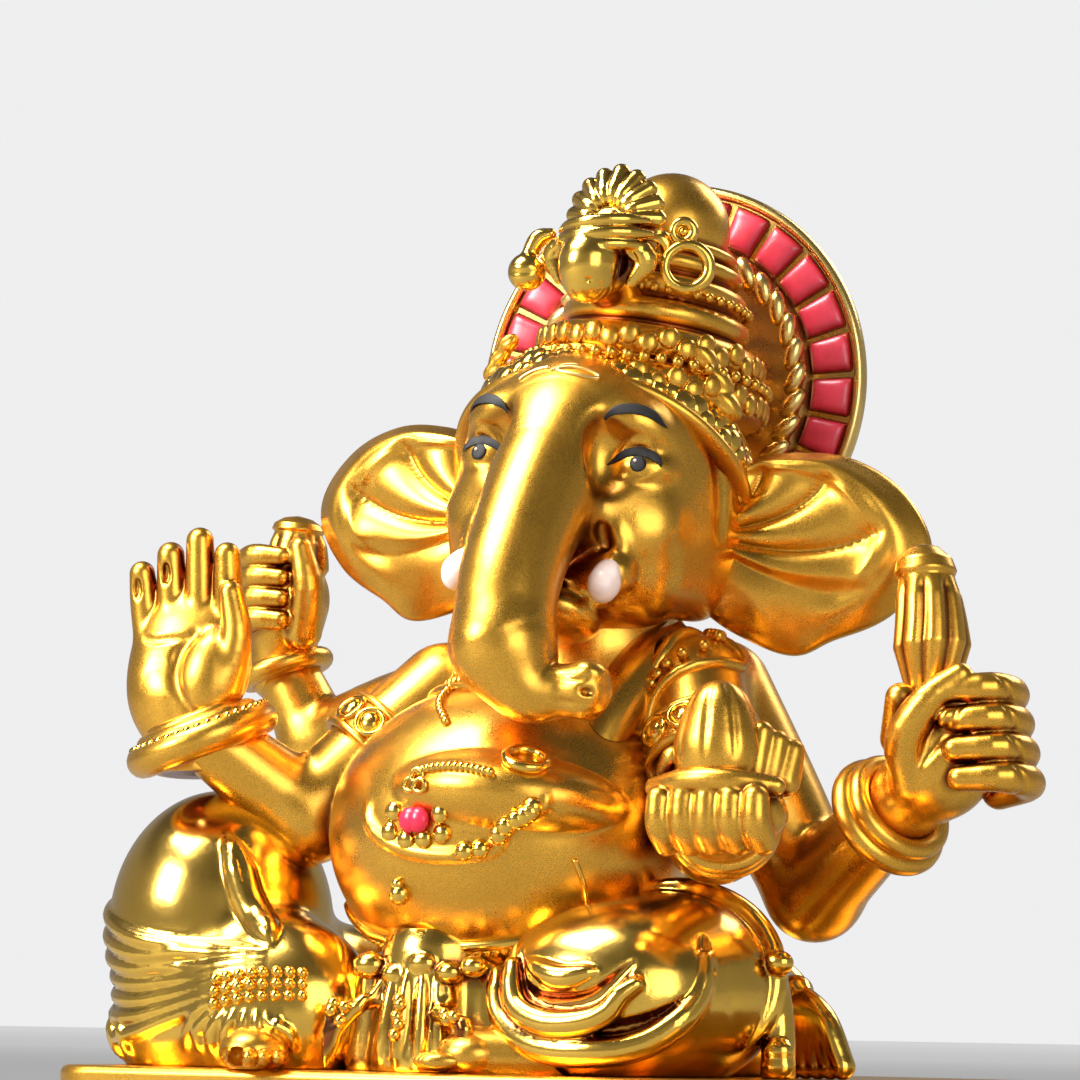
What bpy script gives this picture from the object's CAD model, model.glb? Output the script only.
"""Looks of the ganesha idol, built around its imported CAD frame.

Cast forms (head, body, cloth, hands) are sculpted as distance fields: balls and tapered limbs that flow into
each other, with folds and creases laid on them. Ornaments are surfaces of two parameters. Sizes are in
millimetres and points are in the idol's own frame, or in the head's, which is turned and tilted in it.
"""

import logging
import math
from collections.abc import Sequence
from dataclasses import dataclass
from enum import Enum

import bmesh
import bpy
import numpy as np
from mathutils import Matrix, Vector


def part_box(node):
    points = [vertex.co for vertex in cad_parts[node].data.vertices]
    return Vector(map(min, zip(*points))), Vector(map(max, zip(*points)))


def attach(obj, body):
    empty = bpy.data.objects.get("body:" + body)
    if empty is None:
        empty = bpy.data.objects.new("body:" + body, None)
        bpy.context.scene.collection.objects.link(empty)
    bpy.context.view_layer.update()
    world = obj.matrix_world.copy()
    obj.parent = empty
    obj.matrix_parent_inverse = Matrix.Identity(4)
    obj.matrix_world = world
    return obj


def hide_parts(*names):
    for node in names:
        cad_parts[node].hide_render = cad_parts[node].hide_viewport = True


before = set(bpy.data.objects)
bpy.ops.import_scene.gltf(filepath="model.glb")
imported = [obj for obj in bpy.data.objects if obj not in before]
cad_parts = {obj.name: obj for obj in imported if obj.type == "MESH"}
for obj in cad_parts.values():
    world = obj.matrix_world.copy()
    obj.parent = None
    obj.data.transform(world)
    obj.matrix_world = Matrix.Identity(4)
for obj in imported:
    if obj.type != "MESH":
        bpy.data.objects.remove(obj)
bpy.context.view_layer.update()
LOG = logging.getLogger("idol")
Array = np.ndarray
Point = Sequence[float]
MM = 0.001
METRE = 1000
FAR = 50.0
WELD = 0.002
SNAP_STEPS = 10
SNAP_REACH = 1.5
EVENING_ROUNDS = 2
OPEN_REACHES = (0.5, 1.2, 2.4)
BEAD_ROWS = 6
BEAD_SIDES = 8
FINE = 1.0


# ---- places and turns ---------------------------------------------------------------------
def turn(x: float = 0.0, y: float = 0.0, z: float = 0.0) -> Array:
    """Gives the matrix of a turn about X, then Y, then Z.

    Args:
        x, y, z: angles in degrees.

    Returns:
        A 3 by 3 matrix.
    """
    cx, cy, cz = (math.cos(math.radians(a)) for a in (x, y, z))
    sx, sy, sz = (math.sin(math.radians(a)) for a in (x, y, z))
    about_x = np.array([[1, 0, 0], [0, cx, -sx], [0, sx, cx]])
    about_y = np.array([[cy, 0, sy], [0, 1, 0], [-sy, 0, cy]])
    about_z = np.array([[cz, -sz, 0], [sz, cz, 0], [0, 0, 1]])
    return about_z @ about_y @ about_x


@dataclass(frozen=True)
class Place:
    """A set of axes: carries points given in it into the idol's frame."""

    origin: Array
    axes: Array

    def __call__(self, points: Array) -> Array:
        """Gives points of this place in the idol's frame."""
        return np.asarray(points, float) @ self.axes.T + self.origin

    def inside(self, origin: Point, axes: Array) -> "Place":
        """Gives a place that is set in this one."""
        return Place(self(np.array(origin, float)), self.axes @ axes)


def spot(node: str, fx: float = 0.5, fy: float = 0.5, fz: float = 0.5) -> Array:
    """Gives a point of a CAD node's box.

    Args:
        node: name of the CAD node.
        fx, fy, fz: share of the way from the box's lowest corner to its highest, along each axis.

    Returns:
        The point in millimetres.
    """
    low, high = (np.array(corner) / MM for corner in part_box(node))
    return low + (high - low) * np.array([fx, fy, fz])


def spline(points: Sequence[Point], count: int, closed: bool = False) -> Array:
    """Carries a Catmull-Rom curve through points.

    Args:
        points: what the curve passes through, in any number of dimensions.
        count: how many points are wanted along it.
        closed: whether it returns to its start.

    Returns:
        An array of count points.
    """
    knots = np.array(points, float)
    if closed:
        padded = np.vstack([knots[-1:], knots, knots[:2]])
        spans = len(knots)
    else:
        padded = np.vstack([2 * knots[:1] - knots[1:2], knots, 2 * knots[-1:] - knots[-2:-1]])
        spans = len(knots) - 1
    along = np.linspace(0, spans, count, endpoint=not closed)
    first = np.minimum(along.astype(int), spans - 1)
    t = (along - first)[:, None]
    a, b, c, d = (padded[first + step] for step in range(4))
    return 0.5 * (2 * b + (c - a) * t + (2 * a - 5 * b + 4 * c - d) * t**2 + (3 * b - a - 3 * c + d) * t**3)


def unit(vectors: Array) -> Array:
    """Gives vectors of length 1 with the same directions."""
    return vectors / np.maximum(np.linalg.norm(vectors, axis=-1, keepdims=True), 1e-9)


# ---- meshes -------------------------------------------------------------------------------
@dataclass
class Surface:
    """Points, four-cornered faces and how deep in a crease each point lies, from 0 to 1."""

    points: Array
    faces: Array
    crease: Array

    def placed(self, place: Place) -> "Surface":
        """Gives the surface carried into the idol's frame."""
        return Surface(place(self.points), self.faces, self.crease)


def joined(parts: Sequence[Surface]) -> Surface:
    """Joins surfaces into one."""
    starts = np.cumsum([0] + [len(part.points) for part in parts])
    return Surface(
        np.vstack([part.points for part in parts]),
        np.vstack([part.faces + start for part, start in zip(parts, starts)]),
        np.concatenate([part.crease for part in parts]),
    )


def grid(points: Array, crease: Array | float = 0.0) -> Surface:
    """Joins a grid of points into faces.

    Args:
        points: array of rows by columns by 3.
        crease: how deep in a crease each point lies, as an array of rows by columns, or one number.

    Returns:
        The surface, with edges that meet still apart.
    """
    rows, columns = points.shape[:2]
    corner = np.arange(rows * columns).reshape(rows, columns)
    faces = np.stack([corner[:-1, :-1], corner[1:, :-1], corner[1:, 1:], corner[:-1, 1:]], -1)
    depth = np.broadcast_to(np.asarray(crease, float), (rows, columns))
    return Surface(points.reshape(-1, 3), faces.reshape(-1, 4), depth.reshape(-1))


def walled(path: Array, radii: Array | float, side: Array, normal: Array, sides: int, flat: float) -> Array:
    """Carries a section along a path: radius * (cos a * side + flat * sin a * normal) round each point.

    Args:
        path: points in order.
        radii: one radius for each point, or one for all.
        side, normal: two directions square to the path, at each point.
        sides: faces round the section.
        flat: height of the section as a share of its width.

    Returns:
        An array of path points by sides + 1 by 3.
    """
    sizes = np.broadcast_to(np.asarray(radii, float), (len(path),))
    angle = np.linspace(0, 2 * math.pi, sides + 1)
    across = np.cos(angle)[None, :, None] * side[:, None]
    raised = flat * np.sin(angle)[None, :, None] * normal[:, None]
    return path[:, None] + sizes[:, None, None] * (across + raised)


def capped(path: Array, wall: Array) -> Surface:
    """Closes the wall round an open path with a pole at each end."""
    start, end = (np.repeat(path[[at]], wall.shape[1], 0)[None] for at in (0, -1))
    return grid(np.concatenate([start, wall, end]))


def tube(path: Array, radii: Array | float, up: Point, sides: int = 16, flat: float = 1.0) -> Surface:
    """Carries a round or flattened section along an open path, closed by a pole at each end.

    The section is that of walled, where side is square to the path and to up, and normal is square to both.

    Args:
        path: points in order.
        radii: one radius for each point, or one for all.
        up: direction that the path never follows.
        sides: faces round the section.
        flat: height of the section as a share of its width.

    Returns:
        The closed surface.
    """
    along = unit(np.gradient(path, axis=0))
    side = unit(np.cross(along, np.array(up, float)))
    return capped(path, walled(path, radii, side, np.cross(side, along), sides, flat))


def hoop(path: Array, radii: Array | float, up: Array, sides: int = 14, flat: float = 1.0) -> Surface:
    """Carries a section round a closed path. Works as tube does, and up may differ from point to point."""
    along = unit(np.roll(path, -1, 0) - np.roll(path, 1, 0))
    side = unit(np.cross(along, up))
    wall = walled(path, radii, side, np.cross(side, along), sides, flat)
    return grid(np.concatenate([wall, wall[:1]]))


def beads(centres: Array, radii: Array | float, squash: float = 1.0, facing: Array | None = None) -> Surface:
    """Sets small round beads on points: each is a coarse sphere, pressed along its facing.

    Args:
        centres: array of bead centres.
        radii: one radius for each bead, or one for all.
        squash: thickness along the facing as a share of the width.
        facing: direction that each bead is pressed along; without one it is a plain ball.

    Returns:
        The beads as one surface.
    """
    heights = np.linspace(0, math.pi, BEAD_ROWS + 1)
    tall, angle = np.meshgrid(heights, np.linspace(0, 2 * math.pi, BEAD_SIDES + 1), indexing="ij")
    ball = np.stack([np.sin(tall) * np.cos(angle), np.sin(tall) * np.sin(angle), -np.cos(tall)], -1)
    one = grid(ball)
    sizes = np.broadcast_to(np.asarray(radii, float), (len(centres),))
    shift = one.points[None] * sizes[:, None, None]
    if facing is not None:
        way = unit(np.broadcast_to(facing, centres.shape))
        share = np.einsum("bpc,bc->bp", shift, way)
        shift = shift - (1 - squash) * share[..., None] * way[:, None]
    points = centres[:, None] + shift
    faces = one.faces[None] + (np.arange(len(centres)) * len(one.points))[:, None, None]
    low = np.einsum("bpc,c->bp", one.points[None] * np.ones((len(centres), 1, 1)), np.array([0, 0, -1.0]))
    return Surface(points.reshape(-1, 3), faces.reshape(-1, 4), np.clip(low, 0, 1).reshape(-1) * 0.3)


# ---- sculpting ----------------------------------------------------------------------------
@dataclass(frozen=True)
class Ball:
    """Ball with three radii, turned about X, Y and Z by degrees."""

    centre: Point
    radii: Point
    tilt: Point = (0.0, 0.0, 0.0)

    def span(self) -> tuple[Array, Array]:
        """Gives the lowest and highest corners."""
        half = np.sqrt((turn(*self.tilt) ** 2) @ (np.array(self.radii, float) ** 2))
        return np.array(self.centre) - half, np.array(self.centre) + half

    def distance(self, x: Array, y: Array, z: Array) -> Array:
        """Gives about how far points lie outside it: k (k - 1) / g, with k the length of the point over the
        radii and g the length of the point over their squares."""
        own = turn(*self.tilt).T
        dx, dy, dz = x - self.centre[0], y - self.centre[1], z - self.centre[2]
        k = 0.0
        g = 0.0
        for row, radius in zip(own, self.radii):
            part = (row[0] * dx + row[1] * dy + row[2] * dz) / radius
            k = k + part**2
            g = g + (part / radius) ** 2
        k = np.sqrt(k)
        return k * (k - 1) / np.sqrt(np.maximum(g, 1e-8))


@dataclass(frozen=True)
class Limb:
    """Round limb along a smooth path, with a radius at each of its points."""

    path: Sequence[Point]
    radii: Sequence[float]
    spans: int = 4

    def _bones(self) -> tuple[Array, Array]:
        """Gives the smoothed path and its radii."""
        count = max(2, self.spans * (len(self.path) - 1) + 1)
        knots = np.column_stack([np.array(self.path, float), np.array(self.radii, float)])
        line = spline(knots, count) if len(self.path) > 2 else knots
        return line[:, :3], np.maximum(line[:, 3], 0.02)

    def span(self) -> tuple[Array, Array]:
        """Gives the lowest and highest corners."""
        line, sizes = self._bones()
        return (line - sizes[:, None]).min(0), (line + sizes[:, None]).max(0)

    def distance(self, x: Array, y: Array, z: Array) -> Array:
        """Gives how far points lie outside it: the least, over the path's straight spans, of the distance to
        the span less the radius there."""
        line, sizes = self._bones()
        best = np.full(np.broadcast_shapes(x.shape, y.shape, z.shape), FAR, np.float32)
        for start, end, r0, r1 in zip(line[:-1], line[1:], sizes[:-1], sizes[1:]):
            way = end - start
            length = max(float(way @ way), 1e-9)
            dx, dy, dz = x - start[0], y - start[1], z - start[2]
            t = np.clip((dx * way[0] + dy * way[1] + dz * way[2]) / length, 0, 1)
            gap = np.sqrt((dx - t * way[0]) ** 2 + (dy - t * way[1]) ** 2 + (dz - t * way[2]) ** 2)
            best = np.minimum(best, gap - (r0 + t * (r1 - r0)))
        return best


Solid = Ball | Limb


class Clay:
    """A block of distances on an even grid, in which solids are joined and carved, then read as a surface."""

    def __init__(self, low: Point, high: Point, step: float) -> None:
        """Makes an empty block.

        Args:
            low, high: corners of the space that the form may fill.
            step: size of a grid cell.
        """
        self.step = step * FINE
        self.low = np.array(low, float) - 2 * self.step
        self.shape = tuple(int(n) for n in np.ceil((np.array(high, float) - self.low) / self.step) + 3)
        self.value = np.full(self.shape, FAR, np.float32)

    def _window(self, solid: Solid, margin: float) -> tuple[tuple[slice, ...], list[Array]]:
        """Gives the part of the block round a solid, and the coordinates of its cells."""
        low, high = solid.span()
        first = np.clip(np.floor((low - margin - self.low) / self.step), 0, None).astype(int)
        last = np.minimum(np.ceil((high + margin - self.low) / self.step).astype(int) + 1, self.shape)
        last = np.maximum(last, first)
        window = tuple(slice(a, b) for a, b in zip(first, last))
        lines = [
            (self.low[axis] + self.step * np.arange(first[axis], last[axis])).astype(np.float32)
            for axis in range(3)
        ]
        return window, list(np.meshgrid(*lines, indexing="ij", sparse=True))

    @staticmethod
    def _soft(old: Array, new: Array, blend: float) -> Array | float:
        """Gives the fillet between two distances: (blend - |a - b|) squared, over 4 blends, or 0 beyond a
        blend."""
        return np.maximum(blend - np.abs(old - new), 0) ** 2 / (4 * blend) if blend else 0.0

    def add(self, *solids: Solid, blend: float = 0.0) -> "Clay":
        """Joins solids on: the lesser distance less the fillet, which is about as wide as the blend."""
        for solid in solids:
            window, lines = self._window(solid, blend + 2 * self.step)
            old, new = self.value[window], solid.distance(*lines)
            self.value[window] = np.minimum(old, new) - self._soft(old, new, blend)
        return self

    def carve(self, *solids: Solid, blend: float = 0.0) -> "Clay":
        """Cuts solids away, with an edge rounded by about the blend."""
        for solid in solids:
            window, lines = self._window(solid, blend + 2 * self.step)
            old, new = self.value[window], -solid.distance(*lines)
            self.value[window] = np.maximum(old, new) + self._soft(old, new, blend)
        return self

    def cut_below(self, height: float, blend: float = 0.0) -> "Clay":
        """Cuts everything below a height away."""
        lines = self.low[2] + self.step * np.arange(self.shape[2])
        new = (height - lines).astype(np.float32)[None, None, :]
        self.value = np.maximum(self.value, new) + self._soft(self.value, new, blend)
        return self

    def sample(self, points: Array) -> Array:
        """Reads distances at points, between the grid's eight nearest values in proportion."""
        at = np.clip((points - self.low) / self.step, 0, np.array(self.shape) - 1.001)
        cell = at.astype(int)
        part = at - cell
        total = np.zeros(len(points))
        for corner in np.ndindex(2, 2, 2):
            weight = np.prod(np.where(corner, part, 1 - part), axis=1)
            total += weight * self.value[tuple((cell + corner).T)]
        return total

    def normal(self, points: Array) -> Array:
        """Gives the outward direction at points, from the distances a short way to each side."""
        reach = 0.7 * self.step
        slopes = [self.sample(points + reach * way) - self.sample(points - reach * way) for way in np.eye(3)]
        return unit(np.stack(slopes, -1))

    def snap(self, points: Sequence[Point] | Array, lift: float = 0.0) -> Array:
        """Moves points to the surface, or to a lift above it."""
        moved = np.array(points, float)
        for _ in range(SNAP_STEPS):
            gap = np.clip(self.sample(moved) - lift, -SNAP_REACH, SNAP_REACH)
            moved = moved - gap[:, None] * self.normal(moved)
        return moved

    def fold(
        self, knots: Sequence[Point], size: float, blend: float, sunk: float = 0.35, thin: float = 0.25
    ) -> "Clay":
        """Lays a tapered fold on the surface.

        Args:
            knots: points that the fold passes near; it is moved to the surface.
            size: radius at the middle.
            blend: fillet beside it.
            sunk: share of the radius that the fold's axis lies below the surface.
            thin: radius at the ends as a share of the middle's.
        """
        line = self.snap(spline(knots, 3 * len(knots)), -sunk * size)
        share = np.sin(np.linspace(0, math.pi, len(line))) ** 0.7
        radii = size * (thin + (1 - thin) * share)
        return self.add(Limb(line.tolist(), radii.tolist(), 2), blend=blend)

    def crease(self, knots: Sequence[Point], size: float, blend: float, rise: float = 0.3) -> "Clay":
        """Cuts a tapered crease into the surface. Works as fold does, with its axis a rise above it."""
        line = self.snap(spline(knots, 3 * len(knots)), rise * size)
        share = np.sin(np.linspace(0, math.pi, len(line))) ** 0.6
        radii = size * (0.2 + 0.8 * share)
        return self.carve(Limb(line.tolist(), radii.tolist(), 2), blend=blend)

    def surface(self) -> Surface:
        """Reads the surface: one point in each cell that it crosses, at the mean of the crossings on the
        cell's
        edges, evened out and moved to distance 0, and one face for each grid edge that it crosses."""
        inside = self.value < 0
        inside[[0, -1]] = inside[:, [0, -1]] = inside[:, :, [0, -1]] = False
        count = np.zeros(tuple(n - 1 for n in self.shape), np.uint8)
        for i, j, k in np.ndindex(2, 2, 2):
            count += inside[i : i + count.shape[0], j : j + count.shape[1], k : k + count.shape[2]]
        cells = np.argwhere((count > 0) & (count < 8))
        number = np.full(count.shape, -1, np.int32)
        number[tuple(cells.T)] = np.arange(len(cells))
        total = np.zeros((len(cells), 3))
        hits = np.zeros(len(cells))
        for axis in range(3):
            others = [other for other in range(3) if other != axis]
            for a, b in np.ndindex(2, 2):
                start = np.zeros(3, int)
                start[others] = (a, b)
                end = start.copy()
                end[axis] = 1
                v0 = self.value[tuple((cells + start).T)]
                v1 = self.value[tuple((cells + end).T)]
                crossed = (v0 < 0) != (v1 < 0)
                share = np.where(crossed, v0 / np.where(crossed, v0 - v1, 1), 0)
                total += crossed[:, None] * (start + share[:, None] * (end - start))
                hits += crossed
        points = self.low + self.step * (cells + total / np.maximum(hits, 1)[:, None])
        faces = []
        for axis in range(3):
            b, c = (axis + 1) % 3, (axis + 2) % 3
            near = np.take(inside, range(self.shape[axis] - 1), axis)
            far = np.take(inside, range(1, self.shape[axis]), axis)
            edges = np.argwhere(near != far)
            turned = near[tuple(edges.T)]
            ring = []
            for db, dc in ((0, 0), (-1, 0), (-1, -1), (0, -1)):
                cell = edges.copy()
                cell[:, b] += db
                cell[:, c] += dc
                ring.append(number[tuple(cell.T)])
            quad = np.stack(ring, -1)
            faces.append(np.where(turned[:, None], quad, quad[:, ::-1]))
        quads = np.vstack(faces)
        for _ in range(EVENING_ROUNDS):
            points = self._evened(points, quads)
        normal = self.normal(points)
        clear = np.zeros(len(points))
        for reach in OPEN_REACHES:
            clear += np.clip(self.sample(points + reach * normal) / reach, 0, 1) / len(OPEN_REACHES)
        return Surface(points, quads, np.clip(1.25 * (1 - clear), 0, 1))

    def _evened(self, points: Array, quads: Array) -> Array:
        """Moves points towards the middle of their neighbours, then back to the surface."""
        total = np.zeros_like(points)
        degree = np.bincount(quads.ravel(), minlength=len(points))
        for shift in (1, -1):
            beside = np.roll(quads, shift, 1)
            for axis in range(3):
                total[:, axis] += np.bincount(quads.ravel(), points[beside.ravel(), axis], len(points))
        mean = total / np.maximum(2 * degree, 1)[:, None]
        moved = 0.5 * points + 0.5 * mean
        gap = np.clip(self.sample(moved), -self.step, self.step)
        return moved - gap[:, None] * self.normal(moved)


# ---- shaders ------------------------------------------------------------------------------
class Wire:
    """A number, colour or vector that leaves a node; plain arithmetic on numbers adds Math nodes."""

    def __init__(self, graph: "Graph", socket: bpy.types.NodeSocket) -> None:
        """Wraps a socket of the graph."""
        self.graph = graph
        self.socket = socket

    def _math(self, operation: str, first: object, second: object) -> "Wire":
        """Adds a Math node."""
        return self.graph.node("ShaderNodeMath", {"operation": operation}, {0: first, 1: second})

    def __add__(self, other: object) -> "Wire":
        """Sum."""
        return self._math("ADD", self, other)

    def __radd__(self, other: object) -> "Wire":
        """Sum, with the wire second."""
        return self._math("ADD", other, self)

    def __sub__(self, other: object) -> "Wire":
        """Difference."""
        return self._math("SUBTRACT", self, other)

    def __rsub__(self, other: object) -> "Wire":
        """Difference, with the wire second."""
        return self._math("SUBTRACT", other, self)

    def __mul__(self, other: object) -> "Wire":
        """Product."""
        return self._math("MULTIPLY", self, other)

    def __rmul__(self, other: object) -> "Wire":
        """Product, with the wire second."""
        return self._math("MULTIPLY", other, self)


class Graph:
    """The nodes of one material, or of the world."""

    def __init__(self, owner: bpy.types.Material | bpy.types.World, shader: str = "Principled BSDF") -> None:
        """Opens the nodes of a material or world, and finds the shader that they end in."""
        owner.use_nodes = True
        self.owner = owner
        self.tree = owner.node_tree
        self.shader = self.tree.nodes[shader]

    def node(
        self, kind: str, settings: dict | None = None, inputs: dict | None = None, output: int | str = 0
    ) -> Wire:
        """Adds a node.

        Args:
            kind: type name of the node.
            settings: properties to set first; stops sets a ramp's positions and colours.
            inputs: values or wires for its sockets, by name or number.
            output: which output leaves it.

        Returns:
            The output, wrapped.
        """
        node = self.tree.nodes.new(kind)
        for key, value in (settings or {}).items():
            if key == "stops":
                ramp = node.color_ramp
                for place, (position, colour) in enumerate(value):
                    stop = ramp.elements[place] if place < 2 else ramp.elements.new(position)
                    stop.position = position
                    stop.color = (*colour, 1.0) if len(colour) == 3 else colour
            else:
                setattr(node, key, value)
        for key, value in (inputs or {}).items():
            self.feed(node.inputs[key], value)
        return Wire(self, node.outputs[output])

    def feed(self, socket: bpy.types.NodeSocket, value: object) -> None:
        """Links a wire to a socket, or sets the socket to a value."""
        if isinstance(value, Wire):
            self.tree.links.new(value.socket, socket)
        else:
            socket.default_value = value

    def set(self, **values: object) -> None:
        """Feeds the shader, with socket names in lower case and underscores for spaces."""
        names = {socket.name.lower().replace(" ", "_"): socket for socket in self.shader.inputs}
        for key, value in values.items():
            self.feed(names[key], value)

    def place(self, scale: float) -> Wire:
        """Gives the object's own coordinates times a scale."""
        at = self.node("ShaderNodeTexCoord", output="Object")
        return self.node("ShaderNodeVectorMath", {"operation": "SCALE"}, {0: at, "Scale": scale})

    def noise(self, scale: float, detail: float = 3.0, roughness: float = 0.5) -> Wire:
        """Gives noise from 0 to 1 with a number of cells to a metre."""
        inputs = {"Vector": self.place(scale), "Scale": 1.0, "Detail": detail, "Roughness": roughness}
        return self.node("ShaderNodeTexNoise", {}, inputs, "Fac")

    def attribute(self, name: str) -> Wire:
        """Gives a number stored on the mesh."""
        return self.node("ShaderNodeAttribute", {"attribute_name": name}, {}, "Fac")

    def ramp(self, value: Wire, *stops: tuple[float, Point]) -> Wire:
        """Gives a colour for a value."""
        return self.node("ShaderNodeValToRGB", {"stops": stops}, {"Fac": value}, "Color")

    def mix(self, share: object, first: object, second: object) -> Wire:
        """Mixes two colours."""
        ready = [(*c, 1.0) if isinstance(c, tuple) and len(c) == 3 else c for c in (first, second)]
        inputs = {0: share, 6: ready[0], 7: ready[1]}
        return self.node("ShaderNodeMix", {"data_type": "RGBA"}, inputs, 2)

    def bump(self, height: Wire, strength: float, distance: float) -> None:
        """Raises the shading by a height, over a distance in metres."""
        inputs = {"Height": height, "Strength": strength, "Distance": distance}
        self.set(normal=self.node("ShaderNodeBump", {}, inputs, "Normal"))


@dataclass(frozen=True)
class Gold:
    """Gold lacquer: metal flakes in a warm coat, darker and redder where it pools in creases."""

    name: str
    slot: str
    light: tuple[float, float, float]
    deep: tuple[float, float, float]
    roughness: float
    flake: float
    coat: float

    def material(self) -> bpy.types.Material:
        """Makes the material."""
        g = Graph(bpy.data.materials.new(self.name))
        pool = g.attribute("crease")
        drift = g.noise(260.0, 4.0)
        shade = g.mix(
            g.ramp(drift, (0.35, (0, 0, 0)), (0.7, (1, 1, 1))),
            self.light,
            tuple(0.90 * c for c in self.light),
        )
        dark = g.ramp(pool + 0.25 * (drift - 0.5), (0.18, (0, 0, 0)), (0.85, (1, 1, 1)))
        flakes = g.noise(9000.0, 1.0)
        colour = g.mix(dark, shade, self.deep)
        bright = g.node(
            "ShaderNodeMapRange", {}, {0: flakes, 1: 0.3, 2: 0.7, 3: 1 - self.flake, 4: 1 + self.flake}
        )
        lit = g.node("ShaderNodeVectorMath", {"operation": "SCALE"}, {0: colour, "Scale": bright})
        g.set(base_color=lit, metallic=1.0, coat_roughness=0.22, coat_weight=self.coat)
        g.set(roughness=self.roughness + 0.16 * (drift - 0.5) + 0.18 * (flakes - 0.5) * self.flake * 4)
        g.bump(flakes * 0.4 + g.noise(1500.0, 2.0), 0.16 * (1 + 4 * self.flake), 0.00006)
        return g.owner


@dataclass(frozen=True)
class Enamel:
    """Coloured enamel or paint with a soft gloss, uneven where it was laid on by hand."""

    name: str
    slot: str
    light: tuple[float, float, float]
    deep: tuple[float, float, float]
    roughness: float
    coat: float = 0.3

    def material(self) -> bpy.types.Material:
        """Makes the material."""
        g = Graph(bpy.data.materials.new(self.name))
        drift = g.noise(420.0, 4.0, 0.6)
        pool = g.attribute("crease")
        share = g.ramp(drift + pool - 0.1, (0.35, (0, 0, 0)), (0.95, (1, 1, 1)))
        g.set(base_color=g.mix(share, self.light, self.deep), metallic=0.0, coat_weight=self.coat)
        g.set(roughness=self.roughness + 0.3 * (drift - 0.5), coat_roughness=0.2)
        g.bump(drift, 0.25, 0.0001)
        return g.owner


class Finish(Enum):
    """The finishes of the idol."""

    SATIN = Gold(
        "gold_satin_lacquer", "gold_satin", (0.82, 0.425, 0.05), (0.20, 0.04, 0.002), 0.30, 0.18, 0.2
    )
    BRIGHT = Gold(
        "gold_polished_lacquer", "gold_bright", (0.90, 0.54, 0.07), (0.24, 0.06, 0.002), 0.17, 0.05, 0.5
    )
    PALE = Gold("gold_pale_trim", "gold_bright", (0.90, 0.62, 0.20), (0.26, 0.11, 0.01), 0.27, 0.06, 0.2)
    RED = Enamel("red_enamel_cells", "red_enamel", (0.62, 0.03, 0.06), (0.30, 0.002, 0.008), 0.36)
    STONE = Enamel("red_stone", "red_stone", (0.80, 0.02, 0.02), (0.50, 0.004, 0.006), 0.12, 1.0)
    IVORY = Enamel("ivory_paint", "white_paint", (0.82, 0.66, 0.60), (0.55, 0.36, 0.28), 0.45)
    BLACK = Enamel("black_line_paint", "white_paint", (0.008, 0.006, 0.005), (0.004, 0.003, 0.003), 0.62, 0.0)

    def made(self) -> bpy.types.Material:
        """Gives the finish's material, made once."""
        return bpy.data.materials.get(self.value.name) or self.value.material()


def publish(
    name: str, form: Surface, finish: Finish, nodes: Sequence[str] = (), merge: bool = True
) -> bpy.types.Object:
    """Makes a surface a finished object that rides on the idol.

    Args:
        name: the object's name.
        form: its surface, in millimetres.
        finish: what it is coated with.
        nodes: CAD nodes that it stands for.
        merge: whether meeting edges and poles are joined and the faces turned outwards.

    Returns:
        The object.
    """
    mesh = bpy.data.meshes.new(name)
    mesh.vertices.add(len(form.points))
    mesh.vertices.foreach_set("co", (form.points * MM).astype(np.float32).ravel())
    count = len(form.faces)
    mesh.loops.add(4 * count)
    mesh.loops.foreach_set("vertex_index", form.faces.astype(np.int32).ravel())
    mesh.polygons.add(count)
    mesh.polygons.foreach_set("loop_start", np.arange(0, 4 * count, 4, dtype=np.int32))
    mesh.polygons.foreach_set("use_smooth", np.ones(count, bool))
    layer = mesh.attributes.new("crease", "FLOAT", "POINT")
    layer.data.foreach_set("value", form.crease.astype(np.float32))
    mesh.update(calc_edges=True)
    mesh.validate()
    if merge:
        work = bmesh.new()
        work.from_mesh(mesh)
        bmesh.ops.remove_doubles(work, verts=work.verts, dist=WELD * MM)
        bmesh.ops.recalc_face_normals(work, faces=work.faces)
        work.to_mesh(mesh)
        work.free()
    piece = bpy.data.objects.new(name, mesh)
    bpy.context.scene.collection.objects.link(piece)
    mesh.materials.append(finish.made())
    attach(piece, "root")
    if nodes:
        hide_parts(*nodes)
    LOG.info("%s: %d points, %s", name, len(mesh.vertices), finish.name.lower())
    return piece


# ---- the head -----------------------------------------------------------------------------
HEAD_LEAN = 6.0
HEAD_TURN = 7.0
HEAD_AXES = turn(0, HEAD_LEAN, HEAD_TURN)
HALO_BACK = 16.0
HALO_RISE = 12.5
PLINTH_TOP = round(float(spot("plinth", fz=1)[2]), 3)
HEAD = Place(spot("halo_rim") - HEAD_AXES @ np.array([0, HALO_BACK, HALO_RISE]), HEAD_AXES)


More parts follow.
